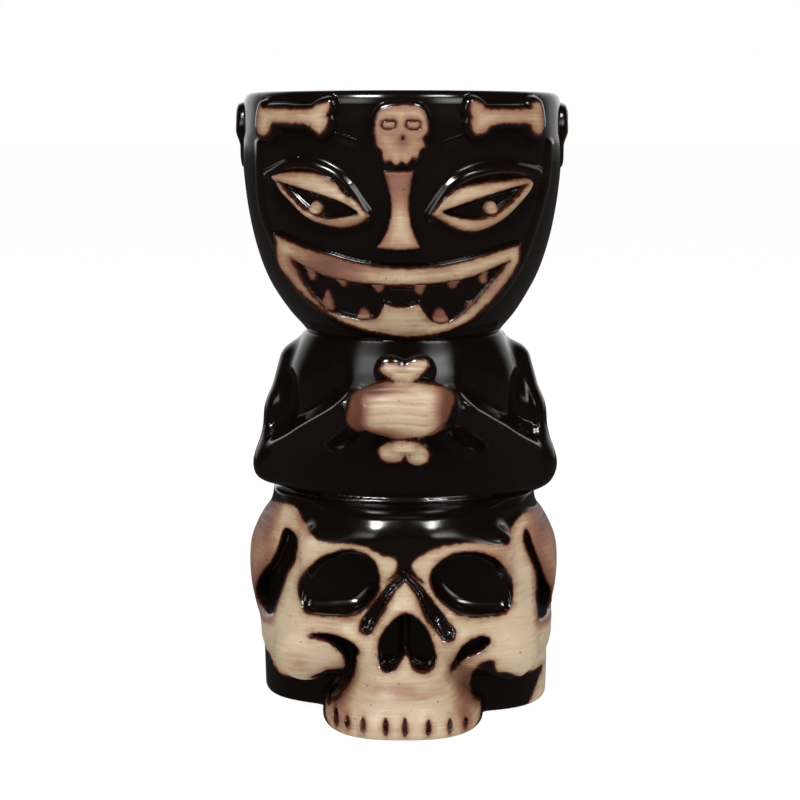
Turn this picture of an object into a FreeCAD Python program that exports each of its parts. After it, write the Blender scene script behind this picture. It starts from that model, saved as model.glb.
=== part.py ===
"""Tiki mug: a grinning head bowl on a crouched figure, sitting on a skull.

Three slip-cast hollow sections (skull base, torso, head bowl) are luted together at spigot
joints, and every raised ornament is a separate press-moulded sprig luted to a section's face.
All sizes are in millimetres. +Z is up, the figure faces -Y, and the origin is on the table
under the axis of the head bowl. Left and right are the viewer's, facing the mug.
"""

import FreeCAD, Part
import math
import os

V = FreeCAD.Vector

# ---- driving dimensions -------------------------------------------------------------------
HEIGHT = 180.0            # table to lip
WAIST_Z = 61.0            # luting plane of skull base and torso
NECK_Z = 108.0            # luting plane of torso and head bowl
RIM_R = 47.2              # outer radius just under the lip
WALL = 4.4                # cast wall thickness
FLOOR = 5.0               # thickness of the skull's floor
SPIGOT_H = 2.0            # height of the register ring at each luting plane
SPIGOT_W = 2.3            # how far it reaches outwards over the wall
SPIGOT_LEDGE = 0.6        # how far it reaches inwards past the wall
NECK_R = 29.5             # outer radius of the neck
WAIST_A, WAIST_B = 40.3, 33.0      # half-width and half-depth of the waist
FACE_X = -0.8             # the face sits a touch to the left of the bowl's axis
SPRIG_T = 2.2             # how far a flat sprig stands proud
NOSE_T, LIP_T = 3.4, 2.6  # the same for the nose and the lips
REACH = 80.0              # longer than any radius, for cutting tools
ORNAMENT_Z = 171.6        # height of the band of skulls and bones round the rim

# outer profile of the head bowl, as (radius, height)
BOWL_OUTER = [(NECK_R, NECK_Z), (34.2, 115.2), (40.9, 127.3), (45.2, 139.2), (47.5, 157.2), (RIM_R, 176.6)]

# the torso without arms, as (height, half-width, half-depth)
TORSO = [(WAIST_Z, WAIST_A, WAIST_B), (69.0, 41.0, 34.5), (80.0, 38.5, 34.0), (90.0, 36.8, 33.0),
         (99.0, 34.8, 31.4), (NECK_Z, NECK_R, NECK_R)]
TORSO_INNER = [(WAIST_Z, WAIST_A - WALL, WAIST_B - WALL), (80.0, 33.5, 29.0), (95.0, 31.0, 27.0),
               (NECK_Z, NECK_R - WALL, NECK_R - WALL)]

# the skull's horizontal outlines, right half from nose to nape, as height: [(x, y), ...]
SKULL = {
    0.0: [(0, -57.5), (13, -54.5), (19.5, -46), (20.5, -35), (29, -27), (39.5, -13), (41.8, 3), (39, 24), (25, 40), (0, 45)],
    7.0: [(0, -59.5), (15, -56), (22, -47), (22.5, -35), (30, -27.5), (40.5, -14), (42.6, 3), (40.5, 24), (27, 41), (0, 47)],
    15.0: [(0, -56), (13, -53), (19, -46), (22.5, -38), (31, -34), (41, -20), (43.8, 2), (43, 24), (29, 43), (0, 49)],
    25.0: [(0, -54), (11, -52.5), (20, -49), (28.5, -44), (36.5, -36), (43, -20), (45.2, 2), (45, 24), (31, 44), (0, 51)],
    38.0: [(0, -50.5), (10, -50.5), (20, -49), (29, -45), (36, -37), (42, -20), (47, 3), (45.5, 25), (32, 43.5), (0, 51)],
    50.0: [(0, -48), (10, -47.5), (20, -46), (29, -42), (36, -34), (41.5, -18), (44.8, 2), (42.5, 21), (28, 37), (0, 44)],
}

# hollows carved in the skull, right side, as centre and radii
SOCKET = ((18.4, -52.0, 40.6), (12.6, 15.0, 9.4))
NOSTRIL = ((3.7, -55.0, 23.0), (4.4, 8.0, 7.4))
TEMPLE = ((44.5, -20.0, 41.0), (4.6, 6.0, 12.5))
UNDER_CHEEK = ((32.0, -38.0, 7.5), (9.5, 12.0, 6.5))

# outlines on the face, seen from the front, as (x, z); those of a right-hand feature are mirrored
EYE = [(37.6, 155.8), (31.0, 157.4), (23.5, 156.2), (16.3, 153.2), (9.0, 146.6),
       (14.0, 142.4), (21.5, 141.0), (29.5, 143.6), (35.2, 149.2)]
SLIT_TOP = [(35.6, 154.0), (12.9, 146.3)]
SLIT_LOWER = [(12.9, 146.3), (17.5, 144.4), (23.5, 144.3), (29.8, 147.6), (35.6, 154.0)]
PUPIL = (24.4, 147.4)
PUPIL_R = 2.1
BROW = [(6.5, 152.0), (10.0, 157.5), (16.0, 162.0), (26.0, 164.6), (36.0, 162.5), (42.0, 157.5)]
BROW_HALF = 2.2
NOSE = [(-3.9, 156.4), (-3.0, 148.4), (-5.6, 136.6), (-5.8, 135.2), (0.0, 134.4)]
LIP_UPPER = [(-36.6, 138.8), (-29.0, 135.6), (-17.0, 132.8), (0.0, 131.4), (17.0, 132.8), (29.0, 135.6), (36.6, 138.8)]
LIP_LOWER = [(36.6, 138.8), (35.4, 130.4), (29.8, 121.8), (21.0, 115.0), (11.0, 111.2), (0.0, 110.0),
             (-11.0, 111.2), (-21.0, 115.0), (-29.8, 121.8), (-35.4, 130.4), (-36.6, 138.8)]
GRIN_UPPER = [(-32.6, 132.6), (-25.0, 129.0), (-14.0, 126.5), (0.0, 125.6), (14.0, 126.5), (25.0, 129.0), (32.6, 132.6)]
GRIN_LOWER = [(32.6, 132.6), (28.6, 126.6), (21.6, 120.8), (14.0, 117.6), (9.0, 117.4), (6.2, 121.6), (4.6, 123.2),
              (-4.6, 123.2), (-6.2, 121.6), (-9.0, 117.4), (-14.0, 117.6), (-21.6, 120.8), (-28.6, 126.6), (-32.6, 132.6)]
UPPER_TEETH = [(-27.0, 2.0, 3.2), (-18.6, 2.2, 2.8), (-5.6, 2.4, 3.0), (5.6, 2.4, 3.2), (15.0, 2.2, 2.2), (24.0, 2.0, 2.8)]
LOWER_TEETH = [(-20.4, 2.6, 5.0), (-11.6, 2.6, 3.6), (12.0, 2.6, 3.8), (20.6, 2.4, 3.0)]
GRIN_DEPTH = 1.6          # how far the open mouth is sunk into the bowl
TOOTH_NOTCHES, TOOTH_PITCH = 8, 4.8       # the slots that part the skull's teeth

BONE_LEN, BONE_KNOB_R, BONE_SHAFT = 29.0, 2.6, 2.3    # rim bone: length, knob radius, shaft half-width
RIM_SKULL_R, RIM_JAW_HALF = 7.6, 4.9       # rim skull: crown radius, half-width of its jaw
HAND_Z = 89.7             # height of the clasped hands
BONE_HELD_R, BONE_HELD_Y = 4.2, -37.6      # held bone: shaft radius, distance in front of the axis
BONE_HELD_LOW, BONE_HELD_TOP = 77.6, 101.4     # heights of its lower and upper knobs


# ---- construction helpers -----------------------------------------------------------------
def spline(points):
    """An edge through points."""
    curve = Part.BSplineCurve()
    curve.interpolate([V(*p) for p in points])
    return curve.toShape()


def closed_spline(points):
    """A closed wire running smoothly through points."""
    curve = Part.BSplineCurve()
    curve.interpolate([V(*p) for p in points], PeriodicFlag=True)
    return Part.Wire([curve.toShape()])


def front(points, offset=0.0):
    """Outline points (x, z) laid in the plane y = 0, shifted sideways by offset."""
    return [(x + offset, 0.0, z) for x, z in points]


def mirrored(points):
    """Outline points reflected in x."""
    return [(-x, z) for x, z in points]


def prism(wire):
    """The solid that a front outline sweeps towards -Y."""
    return Part.Face(wire).extrude(V(0, -REACH, 0))


def ellipse_wire(z, half_width, half_depth, y=0.0):
    """A horizontal ellipse."""
    steps = 24
    turns = [2 * math.pi * i / steps for i in range(steps)]
    return closed_spline([(half_width * math.cos(t), y + half_depth * math.sin(t), z) for t in turns])


def oval_column(sections):
    """A solid lofted through (height, half-width, half-depth[, centre y]) ellipses."""
    return Part.makeLoft([ellipse_wire(*s) for s in sections], True)


def ellipsoid(centre, radii):
    """A solid ellipsoid."""
    scale = FreeCAD.Matrix()
    scale.scale(V(*radii))
    ball = Part.makeSphere(1.0).transformGeometry(scale)
    return ball.translated(V(*centre))


def limb(start, start_r, end, end_r):
    """A rounded, tapered limb between two points."""
    a, b = V(*start), V(*end)
    along = b - a
    length = along.Length
    lean = math.asin((start_r - end_r) / length)
    c, s = math.cos(lean), math.sin(lean)
    p0, p1 = V(start_r * c, 0, start_r * s), V(end_r * c, 0, length + end_r * s)
    half = (math.pi / 2 + lean) / 2
    mid0 = V(start_r * math.cos(lean - half), 0, start_r * math.sin(lean - half))
    half = (math.pi / 2 - lean) / 2
    mid1 = V(end_r * math.cos(lean + half), 0, length + end_r * math.sin(lean + half))
    bottom, top = V(0, 0, -start_r), V(0, 0, length + end_r)
    outline = Part.Wire([Part.Arc(bottom, mid0, p0).toShape(), Part.makeLine(p0, p1),
                         Part.Arc(p1, mid1, top).toShape(), Part.makeLine(top, bottom)])
    solid = Part.Face(outline).revolve(V(0, 0, 0), V(0, 0, 1), 360)
    solid.Placement = FreeCAD.Placement(a, FreeCAD.Rotation(V(0, 0, 1), along))
    return solid


def cast(shape):
    """The single closed solid in shape, with seams that boolean work left removed."""
    solids = sorted(shape.removeSplitter().Solids, key=lambda s: s.Volume)
    return solids[-1]


# ---- the three cast sections --------------------------------------------------------------
def bowl_mass(offset):
    """The head bowl's outside as a full solid, grown radially by offset."""
    edge = spline([(r + offset, 0, z) for r, z in BOWL_OUTER])
    r_low, r_top = BOWL_OUTER[0][0] + offset, BOWL_OUTER[-1][0] + offset
    z_low, z_top = NECK_Z, BOWL_OUTER[-1][1]
    lines = Part.makePolygon([V(r_top, 0, z_top), V(0, 0, z_top), V(0, 0, z_low), V(r_low, 0, z_low)])
    return Part.Face(Part.Wire([edge] + lines.Edges)).revolve(V(0, 0, 0), V(0, 0, 1), 360)


def head_bowl():
    """The drinking bowl: thrown round, with a rounded lip and a rebate that takes the neck spigot."""
    z_top = BOWL_OUTER[-1][1]
    outer = spline([(r, 0, z) for r, z in BOWL_OUTER])
    inner_top = RIM_R - WALL + 0.4
    lip = Part.Arc(V(RIM_R, 0, z_top), V((RIM_R + inner_top) / 2, 0, HEIGHT), V(inner_top, 0, z_top)).toShape()
    rebate_r = NECK_R - WALL + SPIGOT_W
    rebate_z = NECK_Z + SPIGOT_H
    inner = spline([(inner_top, 0, z_top), (43.0, 0, 158.0), (40.7, 0, 140.0), (36.3, 0, 127.8),
                    (30.4, 0, 117.2), (rebate_r, 0, rebate_z)])
    foot = Part.makePolygon([V(rebate_r, 0, rebate_z), V(rebate_r, 0, NECK_Z), V(NECK_R, 0, NECK_Z)])
    outline = Part.Wire([outer, lip, inner] + foot.Edges)
    bowl = Part.Face(outline).revolve(V(0, 0, 0), V(0, 0, 1), 360)
    return cast(bowl.cut(grin_recess()))


def grin_wire():
    """The open mouth's outline on the face."""
    return Part.Wire([spline(front(GRIN_UPPER, FACE_X)), spline(front(GRIN_LOWER, FACE_X))])


def grin_recess():
    """The pocket behind the lips, sunk to an even depth."""
    return prism(grin_wire()).cut(bowl_mass(-GRIN_DEPTH))


def torso_mass():
    """The torso's outside, without arms, as a full solid."""
    return oval_column(TORSO)


def straight_oval(z_low, z_high, half_width, half_depth):
    """An upright oval prism."""
    return oval_column([(z_low, half_width, half_depth), (z_high, half_width, half_depth)])


def add_spigot(body, z, half_width, half_depth):
    """Body with a low oval stub standing on the luting plane at z, over a hole of the given size."""
    stub = straight_oval(z - SPIGOT_H, z + SPIGOT_H, half_width + SPIGOT_W, half_depth + SPIGOT_W)
    return body.fuse(stub)


def bore_spigot(body, z, half_width, half_depth):
    """Body with the stub at z opened into a ring."""
    a, b = half_width - SPIGOT_LEDGE, half_depth - SPIGOT_LEDGE
    return body.cut(straight_oval(z - 2 * SPIGOT_H, z + 2 * SPIGOT_H, a, b))


def torso():
    """The hollow torso, with a spigot on the neck and a rebate in its foot."""
    bore = NECK_R - WALL
    body = add_spigot(torso_mass(), NECK_Z, bore, bore).cut(oval_column(TORSO_INNER))
    body = bore_spigot(body, NECK_Z, bore, bore)
    rebate = straight_oval(WAIST_Z - SPIGOT_H, WAIST_Z + SPIGOT_H,
                           WAIST_A - WALL + SPIGOT_W, WAIST_B - WALL + SPIGOT_W)
    return cast(body.cut(rebate))


def skull_section(z, half, inset):
    """A closed horizontal outline from its right half, moved inwards by inset."""
    left = [(-x, y) for x, y in reversed(half[1:-1])]
    ring = half + left
    count = len(ring)
    moved = []
    for i, (x, y) in enumerate(ring):
        (x0, y0), (x1, y1) = ring[i - 1], ring[(i + 1) % count]
        length = math.hypot(x1 - x0, y1 - y0)
        moved.append((x - inset * (y1 - y0) / length, y + inset * (x1 - x0) / length, z))
    return closed_spline(moved)


def skull_mass(inset=0.0):
    """The skull as a full solid, with jaw, cheekbones and cranium in one loft, inset from its outside."""
    wires = [skull_section(z, half, inset) for z, half in SKULL.items()]
    steps = len(SKULL[0.0]) * 2 - 2
    turns = [-math.pi / 2 + 2 * math.pi * i / steps for i in range(steps)]
    half_width, half_depth = WAIST_A - inset, WAIST_B - inset
    top = closed_spline([(half_width * math.cos(t), half_depth * math.sin(t), WAIST_Z) for t in turns])
    return Part.makeLoft(wires + [top], True)


def hollows(side, growth):
    """The skull's carved hollows on one side, grown by the given amount."""
    shapes = []
    for (x, y, z), radii in (SOCKET, NOSTRIL, TEMPLE, UNDER_CHEEK):
        shapes.append(ellipsoid((side * x, y, z), [r + growth for r in radii]))
    return shapes


def skull_cavity():
    """The hollow left inside an even wall, behind the carved hollows and above the floor."""
    cavity = skull_mass(WALL)
    for side in (-1, 1):
        for hollow in hollows(side, WALL):
            cavity = cavity.cut(hollow)
    floor = Part.makeBox(4 * REACH, 4 * REACH, 2 * FLOOR, V(-2 * REACH, -2 * REACH, -FLOOR))
    return cast(cavity.cut(floor))


def skull_base():
    """The skull: hollow, flat-footed, with eye sockets, nose opening, temples and notched teeth."""
    skull = skull_mass()
    for side in (-1, 1):
        for hollow in hollows(side, 0.0):
            skull = skull.cut(hollow)
    for i in range(TOOTH_NOTCHES):
        x = (i - (TOOTH_NOTCHES - 1) / 2) * TOOTH_PITCH
        lip_y = -59.5 + 6.5 * (x / 19.0) ** 2
        skull = skull.cut(ellipsoid((x, lip_y, 5.0), (0.8, 1.8, 2.6)))
    bore = (WAIST_A - WALL, WAIST_B - WALL)
    skull = add_spigot(skull, WAIST_Z, *bore).cut(skull_cavity())
    return cast(bore_spigot(skull, WAIST_Z, *bore))


# ---- arms, hands and the held bone --------------------------------------------------------
def arm_mass(side):
    """Upper arm and forearm as one bent limb."""
    shoulder = (side * 32.5, 2.0, 98.5)
    elbow = (side * 37.6, -2.0, 69.6)
    wrist = (side * 15.0, -36.0, 88.6)
    upper = limb(shoulder, 6.2, elbow, 8.0)
    fore = limb(elbow, 8.0, wrist, 5.6)
    return upper.fuse(fore)


def left_hand_mass():
    """The hand lying on top, its fingers reaching right across the bone."""
    return ellipsoid((-2.8, -38.6, HAND_Z), (12.6, 8.0, 8.3))


def right_hand_mass():
    """The hand underneath, on the other side of the bone."""
    return ellipsoid((6.0, -37.2, HAND_Z), (9.0, 7.6, 8.0))


def held_bone_mass():
    """An upright bone with two knobs at each end."""
    bone = Part.makeCylinder(BONE_HELD_R, BONE_HELD_TOP - BONE_HELD_LOW, V(0, BONE_HELD_Y, BONE_HELD_LOW))
    for side in (-1, 1):
        top_knob = Part.makeSphere(5.3, V(side * 5.3, BONE_HELD_Y, BONE_HELD_TOP))
        low_knob = Part.makeSphere(5.0, V(side * 4.8, BONE_HELD_Y, BONE_HELD_LOW))
        bone = bone.fuse(top_knob).fuse(low_knob)
    return bone


# ---- sprigs on the head bowl --------------------------------------------------------------
def proud(tool, thickness=SPRIG_T):
    """The part of a tool in a layer of an even thickness on the head bowl's outside."""
    return cast(tool.common(bowl_mass(thickness)).cut(bowl_mass(0.0)))


def eye(side):
    """The almond-shaped lid pad, open along the slit."""
    place = (lambda pts: pts) if side > 0 else mirrored
    pad = prism(closed_spline(front(place(EYE), FACE_X)))
    slit = Part.Wire([spline(front(place(SLIT_TOP), FACE_X)), spline(front(place(SLIT_LOWER), FACE_X))])
    return proud(pad.cut(prism(slit)))


def pupil(side):
    """A pellet of clay in the middle of the slit."""
    x, z = side * PUPIL[0] + FACE_X, PUPIL[1]
    rod = Part.makeCylinder(PUPIL_R, REACH, V(x, 0, z), V(0, -1, 0))
    return proud(rod)


def brow(side):
    """A rolled coil arching over the eye."""
    points = BROW if side > 0 else mirrored(BROW)
    path = spline(front(points, FACE_X)).Curve
    first, last = path.FirstParameter, path.LastParameter
    upper, lower = [], []
    steps = 8
    for i in range(steps + 1):
        t = first + (last - first) * i / steps
        centre, tangent = path.value(t), path.tangent(t)[0]
        half = BROW_HALF * (0.35 + 0.65 * math.sin(math.pi * i / steps))
        normal = V(-tangent.z, 0, tangent.x) * half
        upper.append(tuple(centre + normal))
        lower.append(tuple(centre - normal))
    outline = Part.Wire([spline(upper), Part.makeLine(V(*upper[-1]), V(*lower[-1])),
                         spline(lower), Part.makeLine(V(*lower[0]), V(*upper[0]))])
    return proud(prism(outline))


def nose():
    """The nose wedge, narrow at the bridge and flared at the tip."""
    left = spline(front(NOSE, FACE_X))
    right = spline(front(mirrored(NOSE), FACE_X))
    top = Part.makeLine(V(NOSE[0][0] + FACE_X, 0, NOSE[0][1]), V(-NOSE[0][0] + FACE_X, 0, NOSE[0][1]))
    return proud(prism(Part.Wire(Part.__sortEdges__([left, right, top]))), NOSE_T)


def lips():
    """The ring of lips round the grin, with the wide middle tooth part of the lower lip."""
    outline = Part.Wire([spline(front(LIP_UPPER, FACE_X)), spline(front(LIP_LOWER, FACE_X))])
    return proud(prism(outline).cut(prism(grin_wire())), LIP_T)


def grin_height(x, edge):
    """Height of the grin's upper or lower edge at x, by straight steps between its points."""
    points = sorted(edge)
    for (x0, z0), (x1, z1) in zip(points, points[1:]):
        if x0 <= x <= x1 and x1 > x0:
            return z0 + (z1 - z0) * (x - x0) / (x1 - x0)
    return points[0][1]


def teeth(rows, edge, direction, mouth, layer):
    """A row of peg teeth, each a separate solid standing in the sunken mouth."""
    solids = []
    for x, half, length in rows:
        root = grin_height(x, edge) - direction * 0.8
        tip = root + direction * (length + 0.8)
        corners = [(x - half, root), (x + half, root), (x + half * 0.5, tip), (x - half * 0.5, tip)]
        corners = [V(px + FACE_X, 0, pz) for px, pz in corners + corners[:1]]
        peg = prism(Part.makePolygon(corners)).common(mouth).common(layer)
        solids += peg.Solids
    return Part.makeCompound(solids)


def rim_skull(angle):
    """A small skull sprig on the rim band, turned round the axis by angle degrees."""
    jaw_z = ORNAMENT_Z - 4.0
    crown = Part.makeCylinder(RIM_SKULL_R, REACH, V(0, 0, ORNAMENT_Z - 2.2), V(0, -1, 0))
    jaw = Part.makeBox(2 * RIM_JAW_HALF, REACH, 8.4, V(-RIM_JAW_HALF, -REACH, jaw_z - 8.4))
    tool = crown.fuse(jaw)
    for x in (-2.7, 2.7):
        socket = Part.makeBox(2.6, REACH, 1.9, V(x - 1.3, -REACH, ORNAMENT_Z - 2.2))
        tool = tool.cut(socket)
    return proud(tool).rotated(V(0, 0, 0), V(0, 0, 1), angle)


def rim_bone(angle):
    """A long bone sprig lying along the rim band, turned round the axis by angle degrees."""
    reach_x = BONE_LEN / 2 - BONE_KNOB_R
    tool = Part.makeBox(2 * reach_x, REACH, 2 * BONE_SHAFT, V(-reach_x, -REACH, ORNAMENT_Z - BONE_SHAFT))
    for x in (-reach_x, reach_x):
        for z in (-BONE_KNOB_R * 0.75, BONE_KNOB_R * 0.75):
            knob = Part.makeCylinder(BONE_KNOB_R, REACH, V(x, 0, ORNAMENT_Z + z), V(0, -1, 0))
            tool = tool.fuse(knob)
    return proud(tool).rotated(V(0, 0, 0), V(0, 0, 1), angle)


# ---- assembly -----------------------------------------------------------------------------
def build():
    """Every piece of the mug, by name."""
    pieces = {"head_bowl": head_bowl(), "torso": torso(), "skull_base": skull_base()}

    body = torso_mass()
    top_hand, under_hand, bone = left_hand_mass(), right_hand_mass(), held_bone_mass()
    hands = top_hand.fuse(under_hand)
    pieces["left_hand"] = cast(top_hand.cut([body, bone]))
    pieces["right_hand"] = cast(under_hand.cut([body, bone, top_hand]))
    pieces["held_bone"] = cast(bone.cut(body))
    for name, side in (("left", -1), ("right", 1)):
        pieces[name + "_arm"] = cast(arm_mass(side).cut([body, hands, bone]))
        pieces[name + "_eye"] = eye(side)
        pieces[name + "_pupil"] = pupil(side)
        pieces[name + "_brow"] = brow(side)

    pieces["nose"] = nose()
    pieces["lips"] = lips()
    mouth = prism(grin_wire())
    layer = bowl_mass(0.6).cut(bowl_mass(-GRIN_DEPTH))
    pieces["upper_teeth"] = teeth(UPPER_TEETH, GRIN_UPPER, -1, mouth, layer)
    pieces["lower_teeth"] = teeth(LOWER_TEETH, GRIN_LOWER, 1, mouth, layer)

    for place, angle in (("front", 0), ("right", 90), ("back", 180), ("left", 270)):
        pieces["rim_skull_" + place] = rim_skull(angle)
    for place, angle in (("front_right", 43), ("back_right", 137), ("back_left", 223), ("front_left", 317)):
        pieces["rim_bone_" + place] = rim_bone(angle)
    return pieces


os.makedirs("parts", exist_ok=True)
for name, shape in build().items():
    shape.exportStep(os.path.join("parts", name + ".step"))
    print(name, shape.ShapeType, "valid" if shape.isValid() else "INVALID", round(shape.Volume / 1000, 2), "ml")
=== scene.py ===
"""A glazed ceramic tiki mug, built as named pieces in the frame of its CAD model.

Lengths are in millimetres until a mesh is made. +Z is up and the figure faces -Y. Outlines are
drawn as seen from the front, as (x, z), measured from the centre of the CAD node they belong to.
"""

import math

import bpy
import numpy as np
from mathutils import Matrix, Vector


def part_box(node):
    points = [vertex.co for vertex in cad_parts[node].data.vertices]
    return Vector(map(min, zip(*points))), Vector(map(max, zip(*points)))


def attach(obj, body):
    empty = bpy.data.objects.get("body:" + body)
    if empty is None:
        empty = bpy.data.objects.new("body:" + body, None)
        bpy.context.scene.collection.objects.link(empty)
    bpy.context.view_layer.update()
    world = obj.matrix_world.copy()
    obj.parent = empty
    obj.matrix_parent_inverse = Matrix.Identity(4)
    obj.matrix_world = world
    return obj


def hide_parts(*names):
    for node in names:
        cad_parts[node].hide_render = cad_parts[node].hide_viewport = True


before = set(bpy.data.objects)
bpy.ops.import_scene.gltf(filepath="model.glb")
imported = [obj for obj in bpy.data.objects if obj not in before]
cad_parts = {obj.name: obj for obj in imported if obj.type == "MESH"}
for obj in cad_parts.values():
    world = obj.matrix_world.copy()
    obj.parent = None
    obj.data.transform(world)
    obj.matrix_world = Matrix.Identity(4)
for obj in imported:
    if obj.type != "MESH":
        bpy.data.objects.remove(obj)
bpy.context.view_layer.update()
MM = 0.001


# ---- places taken from the frame ----------------------------------------------------------
def box_mm(node):
    """Lowest and highest corner of a CAD node, in millimetres."""
    low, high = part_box(node)
    return np.array(low) / MM, np.array(high) / MM


def centre_xz(node):
    """The middle of a CAD node as seen from the front."""
    low, high = box_mm(node)
    middle = (low + high) / 2
    return middle[0], middle[2]


NECK_Z = box_mm("head_bowl")[0][2]
LIP_Z = box_mm("head_bowl")[1][2]
WAIST_Z = box_mm("torso")[0][2]
BONE_Z = centre_xz("held_bone")[1]


# ---- curves -------------------------------------------------------------------------------
def smoothstep(x, low, high):
    """0 below low, 1 above high, smooth between."""
    t = np.clip((x - low) / (high - low), 0.0, 1.0)
    return t * t * (3 - 2 * t)


def bump(distance, half):
    """A rounded ridge, 1 on the line and 0 at half on either side."""
    return np.clip(1 - (distance / half) ** 2, 0.0, 1.0) ** 2


def blob(x, z, x0, z0, wide, high):
    """A soft round patch in front view."""
    return np.exp(-((x - x0) / wide) ** 2 - ((z - z0) / high) ** 2)


def smooth_min(a, b, radius):
    """The union of two distance fields, with a fillet."""
    h = np.clip(radius - np.abs(a - b), 0.0, None) / radius
    return np.minimum(a, b) - h * h * radius / 4


def smooth_max(a, b, radius):
    """The intersection of two distance fields, with a rounded edge."""
    return -smooth_min(-a, -b, radius)


def curve(points, closed=False, steps=8):
    """Catmull-Rom points running through the given ones."""
    p = np.array(points, float)
    if len(p) < 3:
        return p
    if closed:
        p = np.vstack([p[-1:], p, p[:2]])
    else:
        p = np.vstack([2 * p[0] - p[1], p, 2 * p[-1] - p[-2]])
    t = np.linspace(0, 1, steps, endpoint=False)[:, None]
    pieces = []
    for a, b, c, d in zip(p, p[1:], p[2:], p[3:]):
        bend = 2 * a - 5 * b + 4 * c - d + t * (3 * b - a - 3 * c + d)
        pieces.append(b + 0.5 * t * (c - a + t * bend))
    out = np.vstack(pieces)
    return out if closed else np.vstack([out, p[-2:-1]])


def profile(points):
    """A smooth function of height through (height, value) points."""
    dense = curve(points, steps=16)
    return lambda z: np.interp(z, dense[:, 0], dense[:, 1])


class Outline:
    """Signed distance to a closed outline, negative inside, or plain distance to an open line.

    The distances are worked out once, on a grid that reaches MARGIN past the outline.
    """

    STEP = 0.3
    MARGIN = 9.0

    def __init__(self, *runs, closed=True, centre=(0.0, 0.0)):
        if closed and len(runs) == 1:
            points = curve(runs[0], closed=True)
        else:
            points = np.vstack([curve(run) for run in runs])
        points = points + np.array(centre)
        if closed:
            points = np.vstack([points, points[:1]])
        self.low = points.min(0) - self.MARGIN
        self.high = points.max(0) + self.MARGIN
        self.count = np.ceil((self.high - self.low) / self.STEP).astype(int) + 1
        gx = self.low[0] + self.STEP * np.arange(self.count[0])[:, None]
        gz = self.low[1] + self.STEP * np.arange(self.count[1])[None, :]
        best = np.full((self.count[0], self.count[1]), 1e9)
        odd = np.zeros(best.shape, bool)
        for (x0, z0), (x1, z1) in zip(points, points[1:]):
            dx, dz = x1 - x0, z1 - z0
            length2 = dx * dx + dz * dz
            if length2 < 1e-12:
                continue
            t = np.clip(((gx - x0) * dx + (gz - z0) * dz) / length2, 0, 1)
            best = np.minimum(best, (gx - x0 - t * dx) ** 2 + (gz - z0 - t * dz) ** 2)
            spans = (z0 <= gz) != (z1 <= gz)
            cross = x0 + (gz - z0) * dx / (dz if abs(dz) > 1e-12 else 1e-12)
            odd ^= spans & (gx < cross)
        best = np.sqrt(best)
        self.table = np.where(odd, -best, best) if closed else best

    def __call__(self, x, z):
        x, z = np.broadcast_arrays(x, z)
        u = np.clip((x - self.low[0]) / self.STEP, 0, self.count[0] - 1.001)
        v = np.clip((z - self.low[1]) / self.STEP, 0, self.count[1] - 1.001)
        away = np.hypot(x - self.low[0] - u * self.STEP, z - self.low[1] - v * self.STEP)
        i, j = u.astype(int), v.astype(int)
        u, v = u - i, v - j
        t = self.table
        low = t[i, j] * (1 - u) + t[i + 1, j] * u
        high = t[i, j + 1] * (1 - u) + t[i + 1, j + 1] * u
        return low * (1 - v) + high * v + away


def outline(node, *runs):
    """A closed outline round the centre of a CAD node."""
    return Outline(*runs, centre=centre_xz(node))


def line(node, *points):
    """An open line, measured from the centre of a CAD node."""
    return Outline(list(points), closed=False, centre=centre_xz(node))


def grown(shape, by):
    """An outline moved outwards, or a stroke drawn along an open line."""
    def edge(x, z):
        return shape(x, z) - by
    edge.low, edge.high = shape.low - by, shape.high + by
    return edge


def union(shapes):
    """Several outlines as one."""
    def edge(x, z):
        return np.minimum.reduce([shape(x, z) for shape in shapes])
    edge.low = np.min([shape.low for shape in shapes], 0)
    edge.high = np.max([shape.high for shape in shapes], 0)
    return edge


def constant(value):
    """The same value everywhere in front view."""
    return lambda x, z: value + 0.0 * x


# ---- meshes -------------------------------------------------------------------------------
UNPAINTED = -9.0          # the paint value of places well inside the black glaze
LONGEST_STEP = 0.25       # how far a vertex may move when it settles on its surface


def make_piece(node, vertices, faces, paint, stain, material):
    """A smooth-shaded mesh that rides on the mug and stands for a CAD node."""
    name = "mug_" + node
    mesh = bpy.data.meshes.new(name)
    count = len(faces)
    mesh.vertices.add(len(vertices))
    mesh.vertices.foreach_set("co", (np.asarray(vertices) * MM).astype(np.float32).ravel())
    mesh.loops.add(count * 4)
    mesh.loops.foreach_set("vertex_index", np.asarray(faces, np.int32).ravel())
    mesh.polygons.add(count)
    mesh.polygons.foreach_set("loop_start", np.arange(0, count * 4, 4, dtype=np.int32))
    mesh.polygons.foreach_set("use_smooth", np.ones(count, bool))
    mesh.update(calc_edges=True)
    for key, values in (("paint", paint), ("stain", stain)):
        attribute = mesh.attributes.new(key, "FLOAT", "POINT")
        values = np.broadcast_to(values, (len(vertices),)).astype(np.float32)
        attribute.data.foreach_set("value", np.ascontiguousarray(values))
    mesh.materials.append(material)
    piece = bpy.data.objects.new(name, mesh)
    bpy.context.scene.collection.objects.link(piece)
    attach(piece, "root")
    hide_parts(node)


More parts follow.
